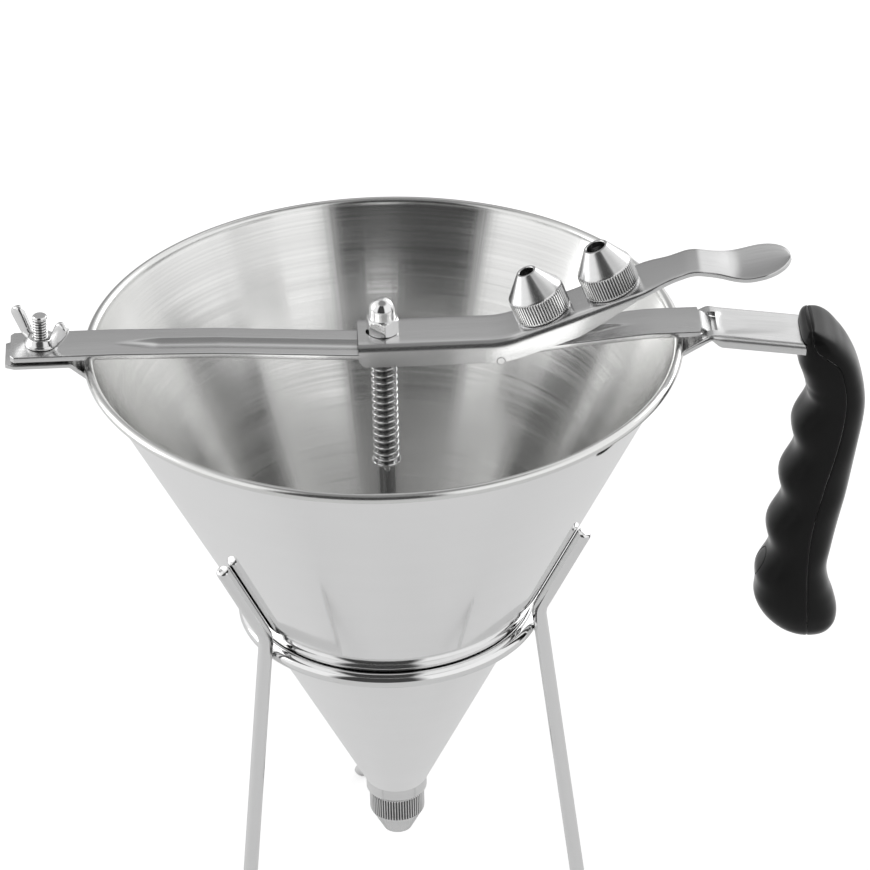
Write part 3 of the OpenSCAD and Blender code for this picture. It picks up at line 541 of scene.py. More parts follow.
stud = np.concatenate(
    [
        rings_at([(0, stud_foot), (2.3, stud_foot), (2.4, stud_foot)], 40),
        threaded(STUD_R, 0.5, 1.0, stud_foot + 0.1, STUD_TOP - 0.5, 40),
        rings_at([(STUD_R - 0.05, STUD_TOP - 0.35), (STUD_R - 0.4, STUD_TOP), (0, STUD_TOP)], 40),
    ]
)
thread = piece(
    "ear_stud_m5", [skin(shifted(stud, STUD_X))], "funnel", ["ear_stud"],
    turned_steel, sharp=40,
)
# A dark steel laid as painted shade: in the stud's thread roots and on the rocker pin under the bar.
painted_shade_steel = metal("painted_shade_steel", (0.22, 0.22, 0.22), 0.4, (1, 4, 1), spread=0.1, shade=0.1, bump=0.05)


# Mostly used to lay a dark material as painted shade in thread roots, knurl grooves, bores and the grip's
# seam.
def recolour_faces(obj, material, chosen):
    """Gives a second material to the faces whose centres, in mm from the axis, chosen(x, y, z) picks."""
    obj.data.materials.append(material)
    for face in obj.data.polygons:
        x, y, z = face.center / MM
        face.material_index = int(chosen(x - AXIS_X, y, z))


# The thread's roots take the dark steel as painted shade in the valleys.
recolour_faces(thread, painted_shade_steel, lambda x, y, z: np.hypot(x - STUD_X, y) < STUD_R - 0.27 and z < STUD_TOP - 0.7)

spacer = rings_at([(2.58, 0), (4.8, 0), (5, 0.2), (5, 1.0), (4.8, 1.2), (2.58, 1.2)], 48)
piece(
    "spacer", [skin(shifted(spacer, STUD_X, z=EAR_Z + SHEET / 2), close_rows=True)],
    "funnel", ["spacer_washer"], turned_steel,
)

WING_TURN, WING_Z = 139, BAR_Z + BAR_T / 2 + GAP
hub = rings_at(
    [
        (2.58, 0), (5.2, 0), (5.5, 0.3), (5.5, 1.0), (5.2, 1.4), (4.9, 1.6), (4.5, 2.7), (4.2, 3.0),
        (2.9, 3.0), (2.58, 2.7),
    ],
    64,
)


def wing():
    """A wing as a flat oval carried from the hub to its round tip: the section's half width and half
    thickness follow the run by interpolation, and the last rows shrink as a quarter circle does."""
    spine = even(rounded([(3.2, 1.6, 0), (5.8, 2.3, 4), (11.0, 10.8, 0)]), 0.35)
    run = np.linspace(0, 1, len(spine))
    close = np.sqrt(np.clip(1 - ((run - 0.86) / 0.14).clip(0, 1) ** 2, 0, 1))
    width = np.interp(run, [0, 0.3, 0.8, 1], [1.5, 2.0, 2.6, 2.6]) * close
    thick = 1.4 * close**0.5
    oval = unit(np.arange(24) * np.pi / 12)
    oval = np.sign(oval) * abs(oval) ** 0.7
    return sweep(spine, oval[None] * np.stack([width, thick], -1)[:, None])


wing_parts = [skin(shifted(hub, STUD_X, z=WING_Z), close_rows=True)] + [
    skin(shifted(turned(wing(), WING_TURN + half), STUD_X, z=WING_Z)) for half in (0, 180)
]
piece("clamping_wing_nut", wing_parts, "wing_nut", ["wing_nut"], turned_steel)

# ---- Crossbar ------------------------------------------------------------------------
# A 17 x 2 mm stainless bar set across the rim. Its middle is dropped, a rib is pressed
# along it for stiffness, and its end is cut to a tongue hooked under the strap.

BAR_END, MID_Z = STUD_X - 10.3, BAR_Z - 4
STRAP_X, STRAP_Z = 108.6, BAR_Z - 0.5
TONGUE_START, TONGUE_DROP = 105.4, 0.5 + (BAR_T + SHEET) / 2 + 0.2
RIB_DEPTH, RIB_ENDS = 1.3, (-90.0, 84.0)
bar_line = rounded(
    [
        (BAR_END, BAR_Z, 0), (-90, BAR_Z, 60), (-55, BAR_Z - 1, 60), (-9, MID_Z, 60), (46, MID_Z, 60),
        (88, BAR_Z, 60), (TONGUE_START + 0.6, BAR_Z, 1.5), (TONGUE_START + 3.6, BAR_Z - TONGUE_DROP, 1.5),
        (STRAP_X + 5.4, BAR_Z - TONGUE_DROP - 0.8, 0),
    ]
)
bar_line = even(bar_line, 1.2)
bar_x = bar_line[:, 0]
corner = np.clip(1.5 - (bar_x - BAR_END), 0, 1.5)
bar_half = BAR_W / 2 - 1.5 + np.sqrt(1.5**2 - corner**2)
bar_half = np.where(bar_x > TONGUE_START - 0.1, 6.0, bar_half)
bar_section = strip_section(bar_half, BAR_T, 0.35, columns=41)
rib_radius = (3.3**2 + RIB_DEPTH**2) / (2 * RIB_DEPTH)
into_rib = np.minimum(bar_x - RIB_ENDS[0], RIB_ENDS[1] - bar_x).clip(0)
rib_here = RIB_DEPTH * (into_rib / 15).clip(0, 1) ** 1.6
sunk = np.sqrt((rib_radius**2 - (bar_section[..., 1] + 1.4) ** 2).clip(0)) - rib_radius + rib_here[:, None]
bar_section[..., 0] -= 0.5 * (sunk + np.sqrt(sunk**2 + 0.004 * rib_here[:, None] ** 2))
bar_section[..., 0] -= 0.12 * (bar_section[..., 1] / (BAR_W / 2)) ** 2
bar = skin(sweep(bar_line, bar_section))
rod_hole = revolve([(0, 225), (2.8, 225), (2.8, 250), (0, 250)], 48)
stud_hole = skin(shifted(rings_at([(0, 225), (2.7, 225), (2.7, 250), (0, 250)], 48), STUD_X))
piece(
    "pressed_crossbar", [bar], "funnel", ["crossbar"], sheet_steel,
    sharp=30, cuts=[rod_hole, stud_hole],
)

# ---- Fulcrum pin ---------------------------------------------------------------------
# A 3 mm round pin welded across the underside of the bar. The lever's notches sit on it.

PIVOT_X, PIVOT_Z = 38.7, MID_Z - BAR_T / 2 - 1.5


def lying(profile, x, z, sides=32):
    """A turned piece laid along Y: (height, r cos a, r sin a) about the point x, z."""
    upright = rings_at(profile, sides)
    return np.stack([x + upright[..., 0], upright[..., 2], z + upright[..., 1]], -1)


pin_profile = [(0, -10.1), (1.2, -10.1), (1.5, -9.8), (1.5, 9.8), (1.2, 10.1), (0, 10.1)]
# The pin's body takes the dark steel as painted shade for the shadow under the bar; its ends keep the sheet
# steel.
pin = piece(
    "rocker_pin", [skin(lying(pin_profile, PIVOT_X, PIVOT_Z))], "funnel", ["fulcrum_pin"],
    painted_shade_steel,
)
recolour_faces(pin, sheet_steel, lambda x, y, z: abs(y) > 9.9)

# ---- Lever ---------------------------------------------------------------------------
# Pressed from 1.5 mm sheet: a channel that straddles the bar, a ramp for the spare
# nozzles, and a neck that dips and flattens into a round thumb rest.

LEVER_Z, LEVER_BEND_X, RAMP = MID_Z + BAR_T / 2 + 3.9, 39.5, np.radians(19.9)
TAIL_X, CREST_X, THUMB_REACH, THUMB_R = -8.4, 103.0, 135.5, 11.0
FLANGE, FLANGE_TAPER = 7.8, 62.0
THUMB_X = THUMB_REACH - THUMB_R


def ramp_z(x):
    """Height of the ramp's top face at a distance from the axis."""
    return LEVER_Z + (x - LEVER_BEND_X) * np.tan(RAMP)


def ease(t):
    """A smooth step from 0 to 1: t^2 (3 - 2 t)."""
    t = np.clip(t, 0, 1)
    return t * t * (3 - 2 * t)


def channel(half, depth, thickness, edge, steps=6, columns=9):
    """Sections (up, side) of a folded channel as closed loops: outer flange, rounded fold, top plate, and
    back along the inside at the sheet's thickness. All four sizes are given per station."""
    half, depth, edge = (np.asarray(v, float)[:, None] for v in (half, depth, edge))
    inner = np.minimum(np.maximum(0.2, edge - thickness), 0.9 * (depth - thickness))
    wall = np.minimum(thickness, half * 0.6)
    a = np.radians(np.linspace(0, 90, steps))[None]
    across = np.linspace(-1, 1, columns + 2)[None, 1:-1]
    out_up = np.concatenate([-depth, edge * (np.sin(a) - 1)], 1)
    out_side = np.concatenate([-half, edge * (1 - np.cos(a)) - half], 1)
    in_up = np.concatenate([-depth, inner * (np.sin(a) - 1) - thickness], 1)
    in_side = np.concatenate([wall - half, inner * (1 - np.cos(a)) + wall - half], 1)
    top_side = across * (half - edge)
    low_side = across * (half - wall - inner)
    level = 0 * top_side
    up = np.concatenate([out_up, level, out_up[:, ::-1], in_up, level - thickness, in_up[:, ::-1]], 1)
    side = np.concatenate([out_side, top_side, -out_side[:, ::-1], -in_side, -low_side, in_side[:, ::-1]], 1)
    return np.stack([up, side], -1)


crest_z = ramp_z(CREST_X)
lever_line = rounded(
    [
        (TAIL_X, LEVER_Z, 0), (LEVER_BEND_X, LEVER_Z, 25), (CREST_X, crest_z, 12),
        (THUMB_X - 6, crest_z - 2.6, 22), (THUMB_REACH, crest_z + 0.8, 0),
    ]
)
lever_line = even(lever_line, 1.5)
lever_line = lever_line[lever_line[:, 0] < THUMB_X]
tip_turn = np.radians(np.linspace(0, 87, 20))
tip_x = THUMB_X + THUMB_R * np.sin(tip_turn)
tip_z = crest_z - 2.6 + (tip_x - THUMB_X + 6) / (THUMB_R + 6) * 3.4
lever_line = np.concatenate([lever_line, np.stack([tip_x, tip_z], -1)])
lx = lever_line[:, 0]
neck = 10.2 - 2.2 * ease((lx - CREST_X + 17) / 11) + 3.0 * ease((lx - THUMB_X + 15) / 14)
lever_half = np.where(lx > THUMB_X, np.sqrt((THUMB_R**2 - (lx - THUMB_X).clip(0) ** 2).clip(0.2)), neck)
tail = np.clip(2.5 - (lx - TAIL_X), 0, 2.5)
lever_depth = np.interp(
    lx,
    [FLANGE_TAPER, FLANGE_TAPER + 10, CREST_X - 20, CREST_X - 14],
    [FLANGE, FLANGE * 0.72, FLANGE * 0.3, SHEET],
)
lever_depth = np.maximum(SHEET + 0.1, lever_depth - 2.5 + np.sqrt(2.5**2 - tail**2))
lever_edge = np.interp(lx, [FLANGE_TAPER, CREST_X - 20, CREST_X - 12], [2.6, 1.5, 0.45])
lever_section = channel(lever_half, lever_depth, SHEET, lever_edge)
off_middle = (lever_section[..., 1] / lever_half[:, None]) ** 2
hollow = 0.9 * ease((lx - THUMB_X + 16) / 16)[:, None] * (1 - off_middle)
lever_section[..., 0] -= hollow + 0.12 * off_middle
SLOT_R, LEVER_TRAVEL = 3.25, np.radians(12)
slot_run = (FLANGE - 0.4) * np.tan(LEVER_TRAVEL) + 1
slot_turn = np.radians(np.arange(48) * 7.5 - 86.25)
slot = SLOT_R * unit(slot_turn) - np.outer(np.arange(48) > 23, (slot_run, 0))
slot_tool = np.stack([np.column_stack([slot, np.full(48, z)]) for z in (LEVER_Z - 3, LEVER_Z + 2)])
notch = [1.58 * unit(np.radians(np.linspace(0, 180, 17))), [[-2.6, -8.0], [2.6, -8.0]]]
notch = np.concatenate(notch) + (PIVOT_X, PIVOT_Z)
notch_tool = np.stack([np.insert(notch, 1, y, axis=1) for y in (-15.0, 15.0)])
piece(
    "formed_lever", [skin(sweep(lever_line, lever_section))], "lever", ["lever"], sheet_steel,
    sharp=32, bevel=0.28, cuts=[skin(slot_tool), skin(notch_tool)],
)

# ---- Nozzle posts --------------------------------------------------------------------
# Threaded aluminium studs riveted through the ramp, one under each spare nozzle.

turned_aluminium = metal(
    "turned_aluminium", (0.80, 0.80, 0.80), 0.22, (0.2, 6, 1), spread=0.08, shade=0.05, bump=0.08, across=0.75
)
PARK_X = {"near": 53.6, "far": 76.6}


def on_ramp(grid, x, gap=0.0):
    """A grid of points stood square on the ramp: turned by the ramp's slope about Y, then moved to its
    top face."""
    c, s = np.cos(RAMP), np.sin(RAMP)
    px, py, pz = grid[..., 0], grid[..., 1], grid[..., 2] + gap
    return np.stack([x + px * c - pz * s, py, ramp_z(x) + px * s + pz * c], -1)


post = np.concatenate(
    [
        rings_at([(0, -2.5), (4.3, -2.5), (4.5, -2.3), (4.5, -1.5), (3, -1.5), (3, 0), (6.8, 0)], 64),
        threaded(THREAD_R, THREAD_DEPTH, THREAD_PITCH, 0.4, 6.3, 64),
        rings_at([(6.9, 7), (0, 7)], 64),
    ]
)
for place, x in PARK_X.items():
    piece(
        f"riveted_post_{place}", [skin(on_ramp(post, x))], "lever", [f"nozzle_post_{place}"],
        turned_aluminium,
    )

# ---- Nozzles -------------------------------------------------------------------------
# Turned aluminium caps in three mouth sizes: a knurled band to grip, a plain cone above
# it, and a threaded socket. One is on the outlet, upside down, and two are on the posts.

KNURLS, KNURL_R, KNURL_DEPTH, BAND, TIP = 60, 9.5, 0.45, 8.8, 7.7


def nozzle(mouth, sides=480):
    """The cap's profile turned about its axis. Over the band the radius loses 0.45 mm times a rounded
    wave of KNURLS teeth round the turn, faded in over the band's two bevels."""
    r_mouth, r_socket, root = mouth / 2, 7.48, KNURL_R - KNURL_DEPTH
    outer = [
        (r_socket, 0, 0), (8.7, 0, 0), (9.0, 0.25, 0), (9.15, 0.5, 0), (9.45, 0.85, 1), (KNURL_R, 1.1, 1),
        (KNURL_R, BAND - 1, 1), (9.45, BAND - 0.7, 1), (9.15, BAND - 0.35, 0), (root, BAND, 0),
        (root - 0.15, BAND + 0.15, 0), (r_mouth + 1.0, BAND + TIP - 0.2, 0), (r_mouth + 0.8, BAND + TIP, 0),
        (r_mouth + 0.15, BAND + TIP, 0), (r_mouth, BAND + TIP - 0.15, 0), (r_mouth, BAND + TIP - 2, 0),
        (r_socket - 0.6, 9.5, 0), (r_socket, 9.5, 0),
    ]
    r, z, tooth = np.array(outer).T
    a = np.arange(sides) * 2 * np.pi / sides
    wave = (0.5 - 0.5 * np.cos(a * KNURLS)) ** 0.8
    radius = r[:, None] - KNURL_DEPTH * tooth[:, None] * wave
    return about_axis(radius, a, z[:, None])


# A near-black aluminium laid in the knurl's grooves and in the bore as painted shade.
painted_shade_aluminium = metal("aluminium_painted_shade", (0.16, 0.16, 0.16), 0.45, (1, 4, 1), spread=0.1, shade=0.1, bump=0.05)


def in_grooves(side, height, mouth):
    """Whether a place on a cap, by its distance from the cap's axis and its height, is in the knurl or
    the bore."""
    groove = 0.9 < height < BAND - 0.5 and KNURL_R - 0.6 < side < KNURL_R - 0.26
    return groove or side < mouth / 2 + 0.05


MOUTHS = {"small": (5.0, "near"), "medium": (6.5, "far")}
for size, (mouth, place) in MOUTHS.items():
    cap = piece(
        f"spare_nozzle_{size}", [skin(on_ramp(nozzle(mouth), PARK_X[place], GAP), close_rows=True)],
        f"nozzle_{size}", [f"nozzle_{size}"], turned_aluminium, sharp=30,
    )
    c, s, foot = np.cos(RAMP), np.sin(RAMP), (PARK_X[place], ramp_z(PARK_X[place]))
    recolour_faces(
        cap, painted_shade_aluminium,
        lambda x, y, z: in_grooves(
            np.hypot((x - foot[0]) * c + (z - foot[1]) * s, y), (z - foot[1]) * c - (x - foot[0]) * s, mouth
        ),
    )
LARGE_MOUTH = 8.0
fitted = nozzle(LARGE_MOUTH) * (1, -1, -1) + (0, 0, collar_z - GAP)
cap = piece(
    "fitted_nozzle_large", [skin(fitted, close_rows=True)], "nozzle_large", ["nozzle_large"],
    turned_aluminium, sharp=30,
)
recolour_faces(cap, painted_shade_aluminium, lambda x, y, z: in_grooves(np.hypot(x, y), collar_z - GAP - z, LARGE_MOUTH))

# ---- Valve rod and plug --------------------------------------------------------------
# A ground stainless rod with M6 threads on top and a turned conical plug pressed on its
# lower end, which shuts the seat in the spigot.

NUT_Z = LEVER_Z + GAP
SPRING_TOP = MID_Z - BAR_T / 2 - RIB_DEPTH - 1
SPRING_LOW = SPRING_TOP - 41
polished_steel = metal(
    "polished_steel", (0.85, 0.85, 0.85), 0.1, (3, 3, 1), spread=0.05, shade=0.03, bump=0.03
)
plug_top = SEAT_Z + 7.5
thread_start = MID_Z + BAR_T / 2 + 0.6
# The rod's steel is painted darker than bare ground stainless, as painted shade for the rod lying in shadow
# inside the spring.
rod_painted_shade_steel = metal(
    "rod_painted_shade_steel", (0.42, 0.42, 0.42), 0.16, (0.3, 9, 1), spread=0.06, shade=0.06, bump=0.05
)
rod = np.concatenate(
    [
        rings_at([(0, plug_top), (2.7, plug_top), (2.7, thread_start - 0.3)], 40),
        threaded(3.0, 0.5, 1.0, thread_start, NUT_Z + 6.2, 40),
        rings_at([(2.4, NUT_Z + 6.8), (0, NUT_Z + 6.8)], 40),
    ]
)
piece("valve_rod", [skin(rod)], "rod", ["piston_rod"], rod_painted_shade_steel)

nose_r = BORE_R - 0.9
cone_z = SEAT_Z + GAP * np.sqrt(2) + nose_r - BORE_R
plug = rings_at(
    [
        (0, cone_z - 3), (nose_r - 1, cone_z - 3), (nose_r, cone_z - 2), (nose_r, cone_z),
        (6.5, cone_z + 6.5 - nose_r), (6.5, SEAT_Z + 6), (3.5, SEAT_Z + 7.5), (0, SEAT_Z + 7.5),
    ],
    64,
)
piece("conical_plug", [skin(plug)], "rod", ["valve_plug"], turned_steel)

# ---- Spring with its washers and cross pin -------------------------------------------
# A compression spring of 1 mm wire, 17 turns with closed ends, held between a washer
# under the bar and one on a pin through the rod.

spring_steel = metal("spring_wire", (0.82, 0.82, 0.82), 0.14, (3, 0.3, 1), spread=0.08, shade=0.06, bump=0.05)


def washer(low):
    """A flat ring, 10 mm over and 1 mm thick, its edges broken by 0.15 mm."""
    profile = [(2.78, 0), (4.85, 0), (5, 0.15), (5, 0.85), (4.85, 1), (2.78, 1)]
    return skin(rings_at([(r, low + h) for r, h in profile], 56), close_rows=True)


TURNS, COIL_R, WIRE = 17, 4.0, 1.0
t = np.linspace(0, 1, TURNS * 40 + 1)
rise = 41 - WIRE
dead, first = 0.06, WIRE / rise
height = np.interp(t, [0, dead, 1 - dead, 1], [0, first, 1 - first, 1])
turn = t * TURNS * 2 * np.pi
wire_angle = np.arange(12) * np.pi / 6
r = COIL_R + WIRE / 2 * np.sin(wire_angle)[None]
coil_z = (SPRING_LOW + WIRE / 2 + rise * height)[:, None] + WIRE / 2 * np.cos(wire_angle)
coil = about_axis(r, turn[:, None], coil_z)
spring = piece("valve_spring", [skin(coil)], "funnel", ["return_spring"], spring_steel)
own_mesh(spring)
piece("spring_washer_upper", [washer(SPRING_TOP)], "funnel", ["upper_washer"], turned_steel)
piece("spring_washer_lower", [washer(SPRING_LOW - 1)], "rod", ["lower_washer"], turned_steel)
cross_profile = [(0, -4.5), (0.8, -4.5), (1, -4.3), (1, 4.3), (0.8, 4.5), (0, 4.5)]
piece(
    "spring_cross_pin", [skin(lying(cross_profile, 0, SPRING_LOW - 2, 24))], "rod", ["cross_pin"],
    polished_steel,
)

# ---- Domed nut -----------------------------------------------------------------------
# A polished M6 domed nut, 10 mm across the flats, which the lever pushes up to open the
# valve.

NUT_TURN = np.radians(37)
nut_z = np.concatenate([[0, 0, 0.12, 0.5], np.linspace(1, 4.2, 6), [4.7, 5.1, 5.4, 5.46]])
a = np.arange(144) * np.pi / 72
hexagon = 5 / np.cos((a - NUT_TURN) % (np.pi / 3) - np.pi / 6)
bevel_r = np.minimum(5.0 + 1.5 * nut_z, 5.0 + 1.5 * (5.46 - nut_z))
radius = np.minimum(hexagon[None], bevel_r[:, None])
radius[0] = 0
hex_rows = about_axis(radius, a, NUT_Z + nut_z[:, None])
dome_arc = 4.4 * unit(np.linspace(0, np.pi / 2, 12)) + (0, 8.0)
dome = np.concatenate([[[4.45, 5.5], [4.4, 5.7], [4.4, 8.0]], dome_arc])
dome_rows = rings_at([(r, NUT_Z + h) for r, h in dome], 144)
dome_rows[-1] = (0, 0, NUT_Z + 12.4)
piece(
    "domed_nut_m6", [skin(np.concatenate([hex_rows, dome_rows]))], "rod", ["domed_nut"],
    polished_steel, sharp=28,
)

# ---- Strap ---------------------------------------------------------------------------
# Pressed from 1.5 mm sheet and spot welded to the cone. It rises past the bead, takes the
# bar's tongue in a slot, and runs as a shallow flanged channel into the grip.

STRAP_HALF, STRAP_FLANGE, STRAP_FALL = 10.85, 3.9, np.radians(8.5)
GRIP_FACE = 138.0


def strap_top(x):
    """Height of the strap's middle line on its way down to the grip."""
    return STRAP_Z - (x - STRAP_X) * np.tan(STRAP_FALL)


strap_line = rounded(
    [(94.4, 228.1, 0), (STRAP_X, STRAP_Z, 3), (GRIP_FACE + 2.5, strap_top(GRIP_FACE + 2.5), 0)]
)
strap_line = even(strap_line, 1.2)
sx = strap_line[:, 0]
n = len(sx)
strap_depth = SHEET + 0.1 + (STRAP_FLANGE - SHEET - 0.1) * ease((sx - 108.2) / 4.5)
strap_edge = np.interp(sx, [104, 112], [0.5, 1.9])
strap_section = channel(np.full(n, STRAP_HALF), strap_depth, SHEET, strap_edge, columns=25)
strap_section[..., 0] += SHEET / 2
dish_deep = 0.75 * ease((sx - 110.0) / 3) * np.interp(sx, [111, GRIP_FACE - 2], [1, 0])
dish_half = np.sqrt(2 * 50 * dish_deep.clip(1e-6))
dish = dish_deep[:, None] * (1 - (strap_section[..., 1] / dish_half[:, None]) ** 2)
strap_section[..., 0] -= 0.5 * (dish + np.sqrt(dish**2 + 0.002)) - 0.5 * np.sqrt(0.002)
strap = sweep(strap_line, strap_section)
strap[0] = meet_wall(strap[0], (-0.85, -0.5), 0.4)
tang_line = rounded(
    [(110.2, strap_top(110.2) - 0.3, 0), (149.5, strap_top(149.5) - 0.3, 5), (143.2, RIM_Z - 84, 0)]
)
tang_line = even(tang_line, 3)
tang = sweep(tang_line, strip_section(np.full(len(tang_line), 6.5), SHEET - 0.2, 0.2))
slot_box = [(x, y) for x, y in ((104.8, -6.2), (111, -6.2), (111, 6.2), (104.8, 6.2))]
tongue_slot = np.array([[(x, y, z) for x, y in slot_box] for z in (STRAP_Z - 4, STRAP_Z + 6)])
piece(
    "handle_strap_pressed", [skin(strap), skin(tang)], "funnel", ["handle_strap"], sheet_steel,
    sharp=40, cuts=[skin(tongue_slot)],
)

# ---- Grip ----------------------------------------------------------------------------
# Two black nylon shells with a fine spark-eroded texture, screwed together over the
# strap's tang. The seam runs down both sides, and the finger side is waved.

GRIP_BACK, GRIP_W, GRIP_TOP, GRIP_LEN = 161.0, 27.0, RIM_Z + 3.4, 122.0
FINGER_WAVE, FINGER_PITCH = 1.4, 19.7


def smooth(d, table):
    """A curve through (depth, value) pairs: cubic Hermite pieces whose slopes are the mean of the two
    chords."""
    x, y = np.array(table, float).T
    chord = np.diff(y) / np.diff(x)
    slope = np.concatenate([chord[:1], (chord[1:] + chord[:-1]) / 2, chord[-1:]])
    d = np.clip(d, x[0], x[-1])
    k = np.clip(np.searchsorted(x, d, "right") - 1, 0, len(x) - 2)
    step = x[k + 1] - x[k]
    s = (d - x[k]) / step
    return (
        y[k] * (1 + 2 * s) * (1 - s) ** 2 + slope[k] * step * s * (1 - s) ** 2
        + y[k + 1] * s**2 * (3 - 2 * s) + slope[k + 1] * step * s**2 * (s - 1)
    )


def grip_front(d):
    """Distance of the finger side from the axis by depth below the grip's top: collar, then a slanted
    line with cosine waves, then the heel."""
    face = smooth(d, [(0, 3), (1.5, 1.6), (7, 0.6), (13, 0), (18.5, 1.6), (24, 3.0)])
    wave = FINGER_WAVE * np.cos(2 * np.pi * (d - 48.4) / FINGER_PITCH)
    wave = wave * ease((d - 22) / 6) * ease((106 - d) / 12)
    line = 3.4 - (d - 22) * 0.2105 + wave
    heel = smooth(d, [(103, 0), (107, 0.6), (112, 3.6), (116, 7.6), (119, 12), (122, 18.5)]) * (d > 103)
    return GRIP_FACE + face + (line - face) * ease((d - 21) / 5) + heel


def grip_rear(d):
    """Distance of the grip's back from the axis by depth below its top."""
    return GRIP_BACK + smooth(
        d,
        [
            (0, -17.5), (1.5, -13.5), (7, -7.6), (13, -3.8), (20, -1.4), (28, -0.15), (34, -0.2),
            (48, -2.5), (65, -5.6), (77, -8.4), (87, -10.6), (96, -12.1), (103, -11.2), (108, -9.6),
            (114, -8.5), (118.5, -9.5), (121, -12), (122, -15),
        ],
    )


def grip_half(d):
    """Half the grip's width by depth below its top."""
    return GRIP_W / 2 * smooth(
        d,
        [
            (0, 0.66), (1.5, 0.84), (5, 0.95), (12, 1), (30, 0.97), (60, 0.93), (90, 0.95), (106, 1),
            (114, 0.92), (118.5, 0.76), (121, 0.52), (122, 0.3),
        ],
    )


def grip_power(d):
    """Power of the grip's oval section by depth below its top: the lower, the squarer."""
    return np.interp(d, [0, 20, 60], [0.5, 0.72, 0.85])


def seam_x(z):
    """Where the seam lies at a height, as distance from the axis."""
    points = [
        (10, 5.2), (-2.5, 5.6), (-4.8, 8.5), (-8.5, 12.8), (-15, 15), (-24, 15.7), (-34, 14.6), (-47, 11.5),
        (-58, 8.4), (-70, 5.5), (-81, 3.9), (-130, 3.8),
    ]
    return GRIP_FACE + smooth(-(z - RIM_Z), [(-h, x) for h, x in points])


def grip_shell(sign, rows=170, arc=72, across=9):
    """One shell: at each height the section x = middle + length * c^p, y = half * s^p is cut along the
    seam. The loop is the arc on that side (sign -1 for the finger side) and a straight run back along the
    seam, and its edge beside the seam is rounded off by 0.3 mm."""
    d = GRIP_LEN / 2 - GRIP_LEN / 2 * np.cos(np.pi * np.linspace(0, 1, rows))
    z = GRIP_TOP - d
    front, rear, half = grip_front(d)[:, None], grip_rear(d)[:, None], grip_half(d)[:, None]
    power = grip_power(d)[:, None]
    middle, length = (front + rear) / 2, (rear - front) / 2
    seam = seam_x(z)[:, None] + 0.01 * sign
    share = np.clip((seam - middle) / length, -1, 1)
    meet = np.arccos(np.sign(share) * abs(share) ** (1 / power))
    t = np.linspace(0, 1, arc)[None]
    t = t - 0.08 * np.sin(2 * np.pi * t)
    if sign < 0:
        angle = meet + (2 * np.pi - 2 * meet) * t
    else:
        angle = -meet + 2 * meet * t
    c, s = np.cos(angle), np.sin(angle)
    x = middle + length * np.sign(c) * abs(c) ** power
    y = half * np.sign(s) * abs(s) ** power
    near = (1 - abs(x - seam) / 0.7).clip(0) ** 2 * 0.45
    kept = 1 - near / np.hypot(x - middle, y).clip(1)
    x, y = middle + (x - middle) * kept, y * kept
    back = np.linspace(0, 1, across + 2)[None, 1:-1]
    x = np.concatenate([x, x[:, -1:] + (x[:, :1] - x[:, -1:]) * back], 1)
    y = np.concatenate([y, y[:, -1:] + (y[:, :1] - y[:, -1:]) * back], 1)
    return np.stack([x, y, z[:, None] + 0 * x], -1)


def moulded_plastic():
    """Satin black nylon: an eroded tool's grain of about 0.15 mm as bump, with a slow change in
    roughness."""
    satin = {"Specular IOR Level": 0.2, "Sheen Weight": 1.0, "Sheen Roughness": 0.27}
    material, tree, shader = new_material("moulded_nylon", satin)
    place = add_node(tree, "TexCoord").outputs["Object"]
    grain, slow = noise(tree, place, 4500.0, 2.0), noise(tree, place, 60.0, 3.0)
    rough = add_node(tree, "MapRange", {"Value": slow, "To Min": 0.3, "To Max": 0.4}).outputs["Result"]
    black = {"Factor": slow, "A": (0.002, 0.002, 0.002, 1), "B": (0.004, 0.004, 0.004, 1)}
    colour = add_node(tree, "Mix", black, data_type="RGBA").outputs["Result"]
    relief = add_node(tree, "Bump", {"Strength": 0.25, "Distance": 0.03 * MM, "Height": grain}).outputs[0]
    feed(shader, {"Roughness": rough, "Base Color": colour, "Normal": relief})
    return material


nylon = moulded_plastic()
pocket_y = STRAP_HALF + 0.35
pocket_corners = [(-pocket_y, -3.5), (pocket_y, -3.5), (pocket_y, 1.1), (-pocket_y, 1.1)]
pocket_ends = (GRIP_FACE - 6, GRIP_FACE + 4.5)
pocket = np.array([[(x, y, strap_top(x) + up) for y, up in pocket_corners] for x in pocket_ends])
PLUG_R, PLUGS = 4.6, {"upper": 19.0, "lower": 91.0}


def plug_face(drop, radius, out, rows=10, sides=48):
    """A round plug laid on the finger side: a disc of points (r cos a, r sin a) across Y and Z, whose X
    follows the grip's section at each point, moved out by a little and domed at its edge."""
    edge, bend = 0.35, np.radians([30, 60, 90])
    r = np.concatenate([np.linspace(0, radius - edge, rows), radius - edge + edge * np.sin(bend)])
    lift = np.concatenate([np.full(rows, out), out - edge * (1 - np.cos(bend))])
    a = circle(1.0, sides)
    y, z = r[:, None] * a[:, 0], RIM_Z - drop + r[:, None] * a[:, 1]
    d = GRIP_TOP - z
    front, rear, half = grip_front(d), grip_rear(d), grip_half(d)
    power = grip_power(d)
    s = np.clip(abs(y) / half, 0, 0.98) ** (1 / power)
    x = (front + rear) / 2 - (rear - front) / 2 * (1 - s**2) ** (power / 2)
    face = np.stack([x - lift[:, None], y, z], -1)
    root = face[-1:] + (3.0, 0, 0)
    return np.concatenate([face, root, root.mean(axis=1, keepdims=True) + 0 * root])


